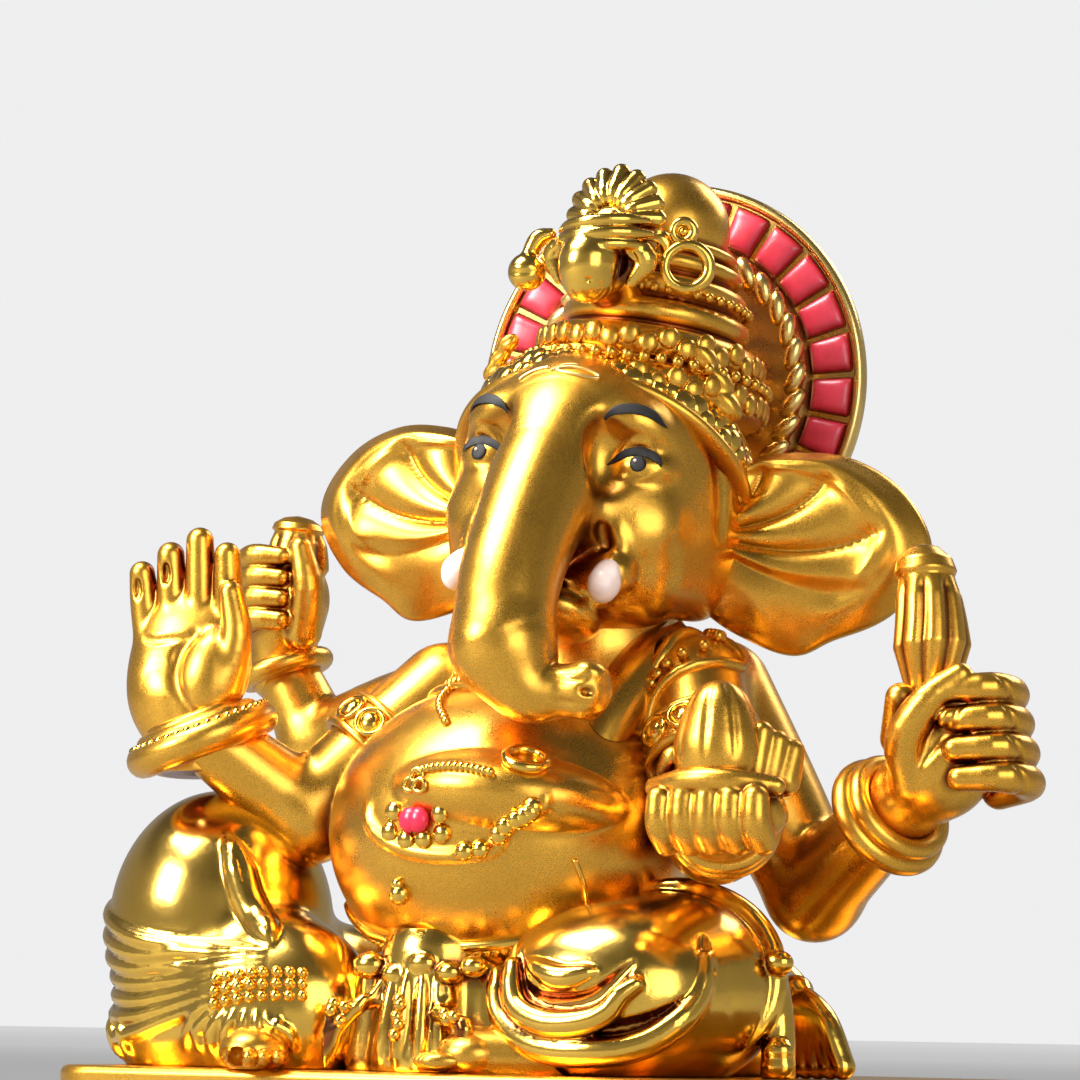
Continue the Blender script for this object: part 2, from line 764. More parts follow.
@dataclass
class Head:
    """Elephant's head: cranium, full cheeks, painted eyes and a trunk that curls to the idol's left."""

    skull: tuple[float, float, float] = (14.0, 12.5, 14.0)
    eye_x: float = 8.6
    eye_z: float = 1.3
    stroke_height: float = 0.16
    cell: float = 0.28

    def sculpt(self) -> Clay:
        """Joins cranium, cheeks, trunk and lids, then carves sockets and creases."""
        clay = Clay((-16, -30, -27.5), (16.5, 14.5, 16), self.cell)
        clay.add(Ball((0, 0, 0.5), self.skull))
        clay.add(Ball((0, -3.4, -0.8), (12.9, 10.6, 11.5)), blend=2)
        clay.add(Ball((0, -4.6, 5.0), (10.2, 8.4, 6.2)), blend=3)
        clay.add(Ball((0, -7.0, 4.6), (10.6, 7.2, 5.2)), blend=2.5)
        for side in (-1, 1):
            clay.add(Ball((side * 6.6, -4.6, -6.4), (6.4, 7.4, 7.6)), blend=2.5)
            clay.add(Ball((side * 10.6, 1.5, -4.5), (4.2, 6.5, 8.0)), blend=2.5)
        clay.add(Ball((0, -6, -11), (6.5, 7, 4.2)), blend=2.5)
        trunk = [
            (0, -7.4, 5.6), (0, -12.4, 0.4), (0.1, -17.2, -5.6), (0.6, -21.2, -12.0), (1.6, -23.2, -17.8)
        ]
        clay.add(Limb(trunk, (6.0, 5.8, 5.2, 4.9, 4.95), 14), blend=3.0)
        clay.add(
            Limb([(1.6, -23.2, -17.8), (4.6, -23.4, -21.6), (8.0, -22.6, -21.6)], (4.9, 3.3, 2.5), 8),
            blend=1.2,
        )
        clay.add(Ball((10.0, -22.6, -21.4), (2.7, 2.7, 2.9), (0, 12, 0)), blend=0.8)
        clay.add(Ball((10.9, -23.0, -19.6), (1.7, 1.9, 1.2), (0, 20, 0)), blend=0.4)
        clay.crease([(8.2, -25.6, -19.8), (9.8, -25.8, -20.4), (11.8, -25.2, -19.9)], 0.32, 0.25)
        clay.crease([(7.6, -25.4, -22.4), (9.8, -25.6, -22.9), (12.2, -24.6, -22.4)], 0.3, 0.3)
        clay.carve(Ball((11.4, -25.2, -21.5), (0.75, 0.9, 0.42)), blend=0.3)
        self._eyes(clay)
        self._mouth(clay)
        return clay

    def _lid(
        self, side: int, arch: float, shift: float, stretch: float = 1.0
    ) -> list[tuple[float, float, float]]:
        """Gives points of an arc across an eye: shift sets its height, arch how far its middle rises."""
        share = np.linspace(-1, 1, 7)
        drop = 0.35 * np.clip(-share, 0, 1) ** 2
        rise = self.eye_z + shift + arch * (1 - np.abs(share) ** 2.2) - drop
        return [(side * (self.eye_x + 2.9 * stretch * x), -12.0, z) for x, z in zip(share, rise)]

    def _eyes(self, clay: Clay) -> None:
        """Sinks the sockets, then lays a low eyeball, crisp lids, a crease over them, a cheek and a brow
        ridge."""
        for side in (-1, 1):
            clay.carve(
                Ball((side * 5.6, -13.2, self.eye_z + 0.6), (1.9, 1.8, 3.4), (0, 0, side * 20)), blend=2.4
            )
            clay.carve(
                Ball((side * self.eye_x, -12.9, self.eye_z + 0.6), (3.4, 1.5, 2.2), (0, 0, side * 24)),
                blend=1.6,
            )
            clay.add(
                Ball((side * self.eye_x, -9.6, self.eye_z - 0.2), (2.8, 2.0, 1.6), (0, 0, side * 24)),
                blend=0.9,
            )
            clay.fold(self._lid(side, 1.5, 0.55, 1.05), 0.36, 0.14, 0.1, 0.4)
            clay.crease(self._lid(side, 1.7, 1.35, 1.1), 0.26, 0.45)
            clay.fold(self._lid(side, -0.75, -0.75, 0.85), 0.24, 0.16, 0.1, 0.4)
            clay.add(
                Ball((side * 8.2, -10.0, self.eye_z - 5.4), (3.6, 1.6, 2.6), (-15, 0, side * 20)), blend=2.4
            )
            brow = [
                (side * (self.eye_x + x), -12, self.eye_z + 4.6 + z)
                for x, z in ((-3, -0.4), (0, 0.4), (3.4, -0.5))
            ]
            clay.fold(brow, 0.9, 2.2, 0.7)
            temple = [(side * 12.4, -4.5, 6.5), (side * 13.4, -3, 1.5), (side * 13.2, -2.5, -4.0)]
            clay.crease(temple, 0.55, 1.4)

    def _mouth(self, clay: Clay) -> None:
        """Cuts the slot above each tusk and lays the folded lips below it."""
        for side in (-1, 1):
            slot = [(side * 5.9, -13.0, -4.6), (side * 6.4, -12.6, -6.6), (side * 7.2, -11.8, -9.0)]
            clay.crease(slot, 0.75, 0.5, 0.0)
            lip = [(side * 7.4, -12.0, -4.8), (side * 8.0, -11.6, -7.2), (side * 8.0, -10.8, -10.2)]
            clay.fold(lip, 0.8, 0.8)
            clay.add(Limb([(side * 4.0, -11.5, -10.5), (side * 7.4, -12.0, -9.4)], (2.0, 2.1)), blend=1.0)
            for drop in (0.0, 1.3, 2.6):
                wrinkle = [
                    (side * 3.2, -14.5, -11.2 - drop),
                    (side * 6.0, -12.0, -12.0 - drop),
                    (side * 8.6, -9.0, -12.6 - drop),
                ]
                clay.fold(wrinkle, 0.55, 0.35)
        clay.add(Ball((1.5, -11.5, -14.0), (4.6, 4.4, 2.2), (-20, 0, 0)), blend=0.8)

    def build(self) -> None:
        """Makes the head, its painted eyes and its tusks."""
        clay = self.sculpt()
        publish("elephant_head", clay.surface().placed(HEAD), Finish.SATIN, ["head"], merge=False)
        for side, name in ((1, "left"), (-1, "right")):
            self._paint(clay, side, name)
            self._tusk(side, name)
        self._tilak(clay)

    def _stroke(self, clay: Clay, knots: Sequence[Point], widths: Sequence[float]) -> Surface:
        """Lays a thin brush stroke on the face: a flattened section along a smooth line, with a width at each
        knot."""
        count = 41
        share = np.linspace(-1, 1, count)
        line = clay.snap(spline(knots, count), 0.1)
        line = np.stack([np.polyval(np.polyfit(share, line[:, axis], 4), share) for axis in range(3)], -1)
        radii = np.interp(np.linspace(0, 1, count), np.linspace(0, 1, len(widths)), widths)
        along = unit(np.gradient(line, axis=0))
        normal = clay.normal(line)
        side = unit(np.cross(along, normal))
        return capped(line, walled(line, radii, side, normal, 16, self.stroke_height))

    def _paint(self, clay: Clay, side: int, name: str) -> None:
        """Paints the tapered brow, the lash line under the upper lid and the pupil that hangs from it."""
        brow = [
            (side * (self.eye_x + x), -12, self.eye_z + 5.0 + z)
            for x, z in ((-3.7, -0.5), (-1.2, 0.0), (1.6, 0.05), (4.9, -0.7))
        ]
        parts = [self._stroke(clay, brow, (0.12, 0.5, 0.58, 0.5, 0.32, 0.03))]
        parts.append(
            self._stroke(clay, self._lid(side, 1.25, 0.1, 1.15), (0.05, 0.34, 0.46, 0.5, 0.46, 0.36, 0.04))
        )
        at = clay.snap([(side * (self.eye_x - 0.1), -12, self.eye_z + 0.15)], 0.0)
        parts.append(beads(at, 0.86, 0.14, clay.normal(at)))
        publish(f"{name}_eye_paint", joined(parts).placed(HEAD), Finish.BLACK)
        glint = clay.snap([(side * (self.eye_x - 0.1) - 0.34, -12, self.eye_z + 0.42)], 0.12)
        publish(f"{name}_eye_glint", beads(glint, 0.17).placed(HEAD), Finish.IVORY)

    def _tusk(self, side: int, name: str) -> None:
        """Makes a short tusk: a round section along a bent path, thick at the middle, with a blunt end."""
        root = np.array([side * 6.8, -10.4, -8.4])
        path = spline([root, root + (side * 0.7, -3.6, -1.2), root + (side * 1.1, -5.6, -4.0)], 21)
        share = np.linspace(0, 1, 21)
        swell = 0.82 + 0.5 * np.clip((share - 0.3) / 0.4, 0, 1)
        radii = 1.25 * swell * np.sqrt(np.clip(1 - (np.clip(share - 0.66, 0, 1) / 0.342) ** 2, 0.0004, 1))
        publish(
            f"ivory_tusk_{name}",
            tube(path, radii, (0, 0, 1), 20).placed(HEAD),
            Finish.IVORY,
            [f"{name}_tusk"],
        )

    def _tilak(self, clay: Clay) -> None:
        """Lays the raised forehead mark: an oval ring with two curls beside it."""
        angle = np.linspace(0, 2 * math.pi, 40, endpoint=False)
        oval = np.stack([1.4 + 2.1 * np.cos(angle), np.full(40, -12.0), 9.3 + 0.75 * np.sin(angle)], -1)
        parts = [hoop(clay.snap(oval, 0.05), 0.2, np.array([0, -1.0, 0.3]), 8)]
        for start, bend, end in (
            ((-4.6, 8.3), (-3.4, 9.6), (-1.6, 9.9)), ((-1.2, 9.0), (-0.4, 10.2), (1.2, 10.8))
        ):
            curl = clay.snap([(x, -12.0, z) for x, z in spline([start, bend, end], 14)], 0.05)
            parts.append(tube(curl, 0.2, (0, -1, 0.3), 8))
        publish("forehead_mark", joined(parts).placed(HEAD), Finish.PALE)


@dataclass
class Ear:
    """Fan-shaped ear: a shell with a thick rolled upper rim, ridges that fan from its root and a full
    lobe."""

    side: int
    root: tuple[float, float] = (11.0, -3.4)
    sweep: float = 8.0
    thick: float = 1.25
    rows: int = 70
    columns: int = 150

    def build(self) -> None:
        """Makes both faces of the shell: point = root + share * reach(angle) * direction, raised by the
        relief."""
        knots = [
            (98, 5.6), (80, 6.4), (62, 8.6), (45, 12.2), (30, 16.6), (14, 20.6), (-2, 22.8), (-18, 20.6),
            (-34, 17.0),
        ]
        knots += [(-48, 15.4), (-64, 11.4), (-84, 8.2), (-98, 7.4)]
        line = spline(knots, self.columns)
        share = np.linspace(0, 1, self.rows)[:, None] ** 0.8
        degrees = line[:, 0][None]
        angle = np.radians(degrees)
        reach = share * line[:, 1][None]
        x = self.root[0] + reach * np.cos(angle)
        z = self.root[1] + reach * np.sin(angle)
        relief = self._relief(share, degrees)
        edge = np.sqrt(np.clip(1 - share**10, 0, 1))
        bowl = 1.1 * share**2 - 0.3
        front = -(self.thick * 0.8 + relief) * edge + bowl
        back = self.thick * 0.9 * edge + 0.5 * np.clip(relief, 0, 2) * edge + bowl
        crease = np.clip(0.35 - 0.6 * relief, 0, 1) * edge
        sheets = [np.stack([x, y, z], -1) for y in (front, back)]
        rim = np.concatenate([sheets[0], sheets[1][::-1]])
        depth = np.concatenate([crease, 0.1 + 0 * crease[::-1]])
        shell = grid(rim, depth)
        turned = shell.points @ turn(0, 0, self.sweep).T
        name = "left" if self.side > 0 else "right"
        place = turned * np.array([self.side, 1, 1])
        piece = Surface(place, shell.faces, shell.crease).placed(HEAD)
        publish(f"elephant_ear_{name}", piece, Finish.SATIN, [f"{name}_ear"])

    def _relief(self, share: Array, degrees: Array) -> Array:
        """Gives the relief: a rim roll that fades below the tip, scalloped folds that run beside it from the
        root, with sharp valleys between them, and a swollen lobe."""
        upper = 1 / (1 + np.exp(-(degrees + 20) / 6))
        rim = 1.6 * np.exp(-(((share - 0.86) / 0.10) ** 2)) * upper
        bent = degrees + 34 * (1 - share)
        fan = np.clip(share / 0.25, 0, 1) * np.clip((0.84 - share) / 0.08, 0, 1)
        inside = np.clip((bent + 12) / 8, 0, 1) * np.clip((82 - bent) / 10, 0, 1)
        scallops = 1.35 * np.sqrt(np.abs(np.sin(np.pi * (bent + 12) / 23.5))) * inside
        lobe = 0.9 * np.exp(-(((degrees + 42) / 24) ** 2) - ((share - 0.52) / 0.3) ** 2)
        waves = 0.16 * np.sin(np.radians(9 * degrees)) * (1 - upper) * share**2
        return rim + fan * (scallops - 0.35 * inside) + lobe + waves


# ---- the crown ----------------------------------------------------------------------------
@dataclass
class Crown:
    """Tiara, turned cap, ribbed front crest, scrolls and temple leaves."""

    slope: float = 40.0
    band_low: float = -0.3
    band_high: float = 5.3
    cap_lean: float = 4.0
    cranium: tuple[float, float] = (12.5, 14.0)
    drift: tuple[float, float] = (0.5596, 0.8359)
    band_rows: int = 64
    band_columns: int = 520
    crest_cell: float = 0.15
    scroll_cell: float = 0.16
    leaf_cell: float = 0.17

    def _on_band(self, angle: Array, height: Array, out: Array) -> Array:
        """Gives points of the tiara: the cranium's cut at a height above its sloped middle plane, grown by
        out.
        Angle 0 is the forehead, and it grows towards the idol's left. The cranium has a depth and a height,
        and
        drift is how far back and up the cut's middle moves for each millimetre of height."""
        depth, tall = self.cranium
        lean = math.radians(self.slope)
        support = math.hypot(depth * math.sin(lean), tall * math.cos(lean))
        wide = tall * np.sqrt(np.clip(1 - (height / support) ** 2, 0, 1)) + out
        deep = depth * tall / support * np.sqrt(np.clip(1 - (height / support) ** 2, 0, 1)) + out
        front = np.array([0, -math.cos(lean), math.sin(lean)])
        rise = np.array([0, *self.drift])
        middle = np.array([0, 0, 0.5]) + height[..., None] * rise
        side = (wide * np.sin(angle))[..., None] * np.array([1.0, 0, 0])
        return middle + side + (deep * np.cos(angle))[..., None] * front

    def band(self) -> None:
        """Makes the tiara: a fat roll below, an engraved belt with two rows of leaves, and two fine lines."""
        columns = self.band_columns
        heights, angles = np.linspace(0, 1, self.band_rows), np.linspace(0, 2 * math.pi, columns)
        t, s = np.meshgrid(heights, angles, indexing="ij")
        height = self.band_low + (self.band_high - self.band_low) * t
        roll = 0.75 * np.sqrt(np.clip(1 - ((t - 0.12) / 0.13) ** 2, 0, 1))
        fine = sum(0.38 * np.sqrt(np.clip(1 - ((t - at) / 0.045) ** 2, 0, 1)) for at in (0.80, 0.90))
        belt = np.clip(1 - ((t - 0.52) / 0.25) ** 4, 0, 1)
        waves = np.sin(34 * s) * np.sin(math.pi * (t - 0.26) / 0.26) + 0.6 * np.sin(68 * s + 9 * t)
        curls = np.sin(51 * s - 22 * t) * np.sin(23 * s + 17 * t)
        out = 1.0 + roll + fine + belt * (0.24 * waves + 0.26 * curls)
        end = np.clip(np.minimum(t, 1 - t) / 0.03, 0, 1)
        out = -0.4 + (out + 0.4) * np.sqrt(1 - (1 - end) ** 2)
        crease = np.clip(0.55 - 1.6 * (out - 1.0), 0, 1)
        outer = self._on_band(s, height, out)
        inner = self._on_band(s[:2], height[[0, -1]], np.full((2, columns), -0.6))
        shell = np.concatenate([inner[:1], outer, inner[1:], inner[:1]])
        depth = np.concatenate([crease[:1], crease, crease[-1:], crease[:1]])
        publish("tiara_band", grid(shell, depth).placed(HEAD), Finish.SATIN, ["crown_band"])
        leaves = []
        for level, size, count in ((0.42, 1.25, 64), (0.64, 1.05, 72)):
            around = np.linspace(0, 2 * math.pi, count, endpoint=False)
            lift = self.band_low + (self.band_high - self.band_low) * level + 0 * around
            centres = self._on_band(around, lift + 0.35 * np.sin(3.0 * np.arange(count)), 1.05 + 0 * around)
            outward = unit(
                self._on_band(around, lift, 2.0 + 0 * around) - self._on_band(around, lift, 0 * around)
            )
            leaves.append(beads(centres, size + 0.3 * np.sin(5.0 * np.arange(count)), 0.42, outward))
        publish("tiara_leaves", joined(leaves).placed(HEAD), Finish.BRIGHT)

    def cap(self) -> None:
        """Turns the cap: a profile of stepped rolls that ends in a round dome, carried round its axis."""
        foot, top, dome = 8.2, 32.6, 5.9
        rolls = (
            (0.06, 12.4, 1.9),
            (0.22, 11.4, 1.7),
            (0.36, 9.5, 1.25),
            (0.48, 8.7, 1.1),
            (0.585, 7.9, 0.8),
            (0.66, 7.1, 0.6),
        )
        height = np.linspace(foot, top, 150)
        share = (height - foot) / (top - foot)
        radius = np.sqrt(np.clip(dome**2 - np.clip(height - (top - dome), -dome, dome) ** 2, 0, None))
        wall = np.where(share < 0.68, 11.0 - 4.6 * share / 0.62, 0)
        radius = np.maximum(radius, wall)
        for at, reach, size in rolls:
            bulge = size**2 - (height - (foot + at * (top - foot))) ** 2
            radius = np.maximum(
                radius, np.where(bulge > 0, reach - size + np.sqrt(np.clip(bulge, 0, None)), 0)
            )
        radius[0], radius[-1] = 0, 0
        crease = np.clip((np.roll(radius, 4) + np.roll(radius, -4)) / 2 - radius, 0, 1)
        a = np.linspace(0, 2 * math.pi, 129)
        ring = np.stack([np.cos(a), np.sin(a), 0 * a], -1)
        points = radius[:, None, None] * ring[None] + height[:, None, None] * np.array([0, 0, 1.0])
        place = HEAD.inside((2.0, 2.4, 0), turn(-self.cap_lean, 1.5))
        publish("crown_dome", grid(points, crease[:, None]).placed(place), Finish.SATIN, ["crown_cap"])
        self._cap_studs(place, foot, top)

    def _cap_studs(self, place: Place, foot: float, top: float) -> None:
        """Rings the cap with two rows of round studs and two rows of overlapping leaves."""
        rows = []
        for share, reach, count, size in ((0.14, 12.2, 46, 0.62), (0.45, 9.1, 40, 0.5)):
            angle = np.linspace(0, 2 * math.pi, count, endpoint=False)
            z = np.full(count, foot + share * (top - foot))
            rows.append(beads(np.stack([reach * np.cos(angle), reach * np.sin(angle), z], -1), size))
        for share, reach, count in ((0.06, 12.3, 40), (0.22, 11.3, 36)):
            angle = np.linspace(0, 2 * math.pi, count, endpoint=False)
            way = np.stack([np.cos(angle), np.sin(angle), 0 * angle], -1)
            z = foot + share * (top - foot) + 0.45 * np.sin(3.0 * np.arange(count))
            rows.append(beads(reach * way + z[:, None] * np.array([0, 0, 1.0]), 1.15, 0.4, way))
        publish("crown_studs", joined(rows).placed(place), Finish.SATIN)

    def crest(self) -> None:
        """Sculpts the fan of ribs, the curved lips below it, the barrel-shaped boss and the leaf beside
        it."""
        clay = Clay((-8, -18, 13), (10, 1, 32.5), self.crest_cell)
        clay.add(Limb([(0.6, -2.5, 23.5), (1.4, -7.0, 24.6)], (3.4, 3.0)))
        clay.add(Limb([(0.6, -3.5, 20.4), (1.0, -8.0, 21.0)], (3.8, 3.2)), blend=0.8)
        for number in range(9):
            angle = math.radians(-84 + 21 * number)
            way = np.array([math.sin(angle), 0, math.cos(angle)])
            base = np.array([1.6, -8.6, 25.4])
            long = 4.9 - 0.5 * abs(math.sin(angle))
            rib = [base + 0.8 * way, base + 0.55 * long * way + (0, -0.5, 0), base + long * way + (0, 0.9, 0)]
            clay.add(Limb(rib, (0.42, 0.74, 0.92), 6), blend=0.06)
        clay.add(Ball((1.6, -7.4, 25.2), (5.0, 1.0, 5.0)), blend=0.15)
        for rise, reach, size in ((0.0, 4.6, 0.62), (-1.25, 4.9, 0.7), (-2.4, 4.6, 0.6)):
            arc = [
                (1.4 + reach * x, -9.8 - 3.2 * (1 - x * x), 24.6 + rise + 0.7 * x)
                for x in np.linspace(-1, 1, 7)
            ]
            clay.add(Limb(arc, (0.5 * size, size, size, size, size, size, 0.5 * size)), blend=0.12)
        clay.add(
            Limb([(0.9, -10.8, 22.0), (0.8, -11.4, 20.6), (0.8, -11.2, 19.4)], (2.8, 3.0, 2.7), 8), blend=0.2
        )
        clay.carve(Ball((2.0, -14.0, 18.6), (0.4, 0.7, 0.4)), blend=0.12)
        for side in (-1, 1):
            leaf = [
                (1.0 + side * 2.6, -10.8, 23.0),
                (1.0 + side * 4.8, -9.4, 21.6),
                (1.0 + side * 3.8, -9.8, 19.2),
            ]
            clay.add(Limb(leaf, (0.7, 1.25, 0.6), 6), blend=0.25)
            clay.crease([(1.0 + side * 3.2, -11.8, 22.6), (1.0 + side * 4.6, -11.0, 20.8)], 0.3, 0.2)
        publish("crown_front_crest", clay.surface().placed(HEAD), Finish.BRIGHT, ["crown_crest"], merge=False)

    def _ring(self, at: Array, facing: Array, reach: float, wire: float) -> Surface:
        """Gives an upright ring round a point, thicker at one side."""
        a = np.linspace(0, 2 * math.pi, 48, endpoint=False)
        path = at + np.stack([reach * np.cos(a), 0 * a, reach * np.sin(a)], -1) @ facing.T
        return hoop(path, wire * (1 + 0.14 * np.cos(a)), facing @ np.array([0, 1.0, 0]), 14)

    def trims(self) -> None:
        """Makes the two rings and their stem on the left, the grooved knob on the right, and the leaves."""
        facing = turn(0, 0, 24)
        at = np.array([9.4, -7.2, 21.4])
        parts = [self._ring(at, facing, 2.15, 0.58), self._ring(at + (-0.9, 0.2, 3.5), facing, 1.0, 0.5)]
        parts.append(beads(np.array([at + (-0.9, 0.4, 3.5)]), 0.55))
        stem = spline([at + (-2.2, 0.6, 1.0), at + (-3.2, 0.4, 2.6), at + (-5.6, -0.6, 2.2)], 17)
        parts.append(tube(stem, 0.5 + 0.5 * np.sin(np.linspace(0, math.pi, 17)), (0, 1, 0), 12))
        publish("crown_scroll_left", joined(parts).placed(HEAD), Finish.BRIGHT, ["left_scroll"])
        clay = Clay((-11, -13, 15), (-2, -3, 26), self.scroll_cell)
        clay.add(Ball((-6.8, -8.8, 19.8), (1.9, 1.8, 1.9)))
        clay.carve(
            Limb([(-9.2, -10.2, 19.6), (-6.8, -10.9, 19.4), (-4.6, -10.2, 19.8)], (0.34, 0.4, 0.34)),
            blend=0.3,
        )
        clay.add(
            Limb([(-6.9, -8.6, 21.4), (-6.2, -8.4, 23.2), (-5.0, -8.2, 23.8)], (0.8, 0.9, 0.6)), blend=0.3
        )
        publish(
            "crown_scroll_right", clay.surface().placed(HEAD), Finish.BRIGHT, ["right_scroll"], merge=False
        )
        self._leaves()

    def _leaves(self) -> None:
        """Sculpts the temple ornaments: a lobed leaf that curls outwards, with lumps along the tiara's
        edge."""
        for side, name, size in ((1, "left", 1.0), (-1, "right", 0.62)):
            clay = Clay((4 if side > 0 else -17, -11, 3.5), (17 if side > 0 else -4, 3, 19), self.leaf_cell)
            root = np.array([side * 10.4, -3.4, 13.2])
            for reach, rise in ((0.0, 0.0), (1.5, -2.1), (2.4, -4.3)):
                centre = root + size * np.array([side * reach, 0.5 * reach, rise])
                clay.add(
                    Ball(centre.tolist(), (2.3 * size, 1.5 * size, 1.35 * size), (0, side * 38, side * 24)),
                    blend=0.3,
                )
                vein = [
                    centre + size * np.array([side * x, -1.6, z])
                    for x, z in ((-1.5, 1.1), (0.0, 0.1), (1.5, -1.1))
                ]
                clay.crease([c.tolist() for c in vein], 0.26, 0.3)
            for number in range(3):
                at = root + (side * (2.2 + 0.8 * number), 1.4 + 1.1 * number, -5.6 - 2.0 * number)
                clay.add(Ball(at.tolist(), (1.4, 1.1, 0.9), (0, side * 38, 0)), blend=0.25)
            publish(
                f"temple_leaf_curl_{name}",
                clay.surface().placed(HEAD),
                Finish.SATIN,
                [f"{name}_temple_leaf"],
                merge=False,
            )

    def build(self) -> None:
        """Makes the whole crown."""
        self.band()
        self.cap()
        self.crest()
        self.trims()


# ---- the halo -----------------------------------------------------------------------------
@dataclass
class Halo:
    """Round plate behind the head: rim, coloured cells, twisted rope and the plate itself."""

    radius: float = 21.0
    thick: float = 2.0
    rim: float = 1.1
    cells: int = 26
    inner: float = 15.2
    rope: float = 14.0
    lays: int = 34
    bead: float = 0.6
    bead_height: float = 1.7
    sides: int = 192

    def __post_init__(self) -> None:
        """Sets the plate upright behind the head, facing the front."""
        self.place = HEAD.inside((0, HALO_BACK, HALO_RISE), turn(90))

    def plate(self) -> None:
        """Turns the plate and its rim from their profiles."""
        a = np.linspace(0, 2 * math.pi, self.sides + 1)
        ring = np.stack([np.cos(a), np.sin(a), 0 * a], -1)
        half = self.thick / 2
        face = self.radius - self.rim + 0.1
        profile = [
            (0, half - 0.5),
            (6, half - 0.35),
            (self.inner - 0.6, half),
            (self.inner, half - 0.9),
            (face, half - 0.9),
            (face, -half),
            (0, -half),
        ]
        radius, height = np.array(profile).T
        points = radius[:, None, None] * ring + height[:, None, None] * np.array([0, 0, 1.0])
        depth = np.array([0.1, 0.1, 0.2, 0.6, 0.6, 0.1, 0.1])[:, None]
        plate = publish("halo_plate", grid(points, depth).placed(self.place), Finish.PALE, ["halo_disc"])
        plate.data.set_sharp_from_angle(angle=math.radians(35))
        path = (self.radius - self.bead - 0.02) * ring[:-1]
        rim = hoop(path, self.bead, np.array([0, 0, 1.0]), 16, self.bead_height)
        publish("halo_edge_bead", rim.placed(self.place), Finish.PALE, ["halo_rim"])

    def enamel(self) -> None:
        """Pillows one cell over its sector, and repeats it round the ring. Its height is the root of
        (1 - |u|^5)(1 - |v|^4), plus a slight dome, with u and v from -1 to 1 across the cell."""
        step = 2 * math.pi / self.cells
        outer = self.radius - self.rim - 0.2
        u, v = np.meshgrid(np.linspace(-1, 1, 15), np.linspace(-1, 1, 13), indexing="ij")
        reach = (self.inner + outer) / 2 + u * (outer - self.inner) / 2
        half = 0.5 * step * (1 - 0.10)
        swell = np.clip((1 - np.abs(u) ** 5) * (1 - np.abs(v) ** 4), 0, 1) ** 0.5
        base = self.thick / 2 - 0.95
        top = base + 1.0 * swell + 0.12 * (1 - u**2) * (1 - v**2)
        depth = 1 - swell
        parts = []
        for number in range(self.cells):
            angle = number * step + half * v
            upper = np.stack([reach * np.cos(angle), reach * np.sin(angle), top], -1)
            lower = np.stack([reach * np.cos(angle), reach * np.sin(angle), np.full_like(top, base)], -1)
            parts += [grid(upper, depth), grid(lower[::-1], 1.0)]
        publish("halo_enamel_cells", joined(parts).placed(self.place), Finish.RED, ["halo_cells"])

    def twist(self) -> None:
        """Lays the rope: one slanted, swollen lay after another round a ring."""
        parts = []
        pitch = 2 * math.pi / self.lays
        share = np.linspace(-1, 1, 13)
        for number in range(self.lays):
            angle = (number + 0.5) * pitch + 0.62 * pitch * share
            reach = self.rope + 0.85 * share
            lift = self.thick / 2 + 0.55 + 0.25 * (1 - share**2)
            path = np.stack([reach * np.cos(angle), reach * np.sin(angle), lift], -1)
            parts.append(tube(path, 0.78 * np.sqrt(np.clip(1.02 - share**2, 0.02, 1)) + 0.12, (0, 0, 1), 12))
        publish("halo_twisted_rope", joined(parts).placed(self.place), Finish.PALE, ["halo_rope"])

    def build(self) -> None:
        """Makes the whole halo."""
        self.plate()
        self.enamel()
        self.twist()


# ---- the body -----------------------------------------------------------------------------
@dataclass(frozen=True)
class Arm:
    """One arm: the points of its shoulder, elbow and wrist, and its thickness."""

    name: str
    shoulder: tuple[float, float, float]
    elbow: tuple[float, float, float]
    wrist: tuple[float, float, float]
    upper: float = 5.3
    fore: float = 4.6
    end: float = 3.5


ARMS = (
    Arm("right_front", (-14, -2, 45.5), (-24, -11.5, 33), (-31.5, -19, 40.5)),
    Arm("right_back", (-14, 3.5, 45.5), (-33.5, 5, 41), (-38, 4, 50), fore=4.0, end=3.2),
    Arm("left_back", (14, 3.5, 45.5), (24.5, 4, 26), (37, -3, 34)),
    Arm("left_front", (14, -2, 45.5), (22, -12, 31), (27, -20.5, 32)),
)


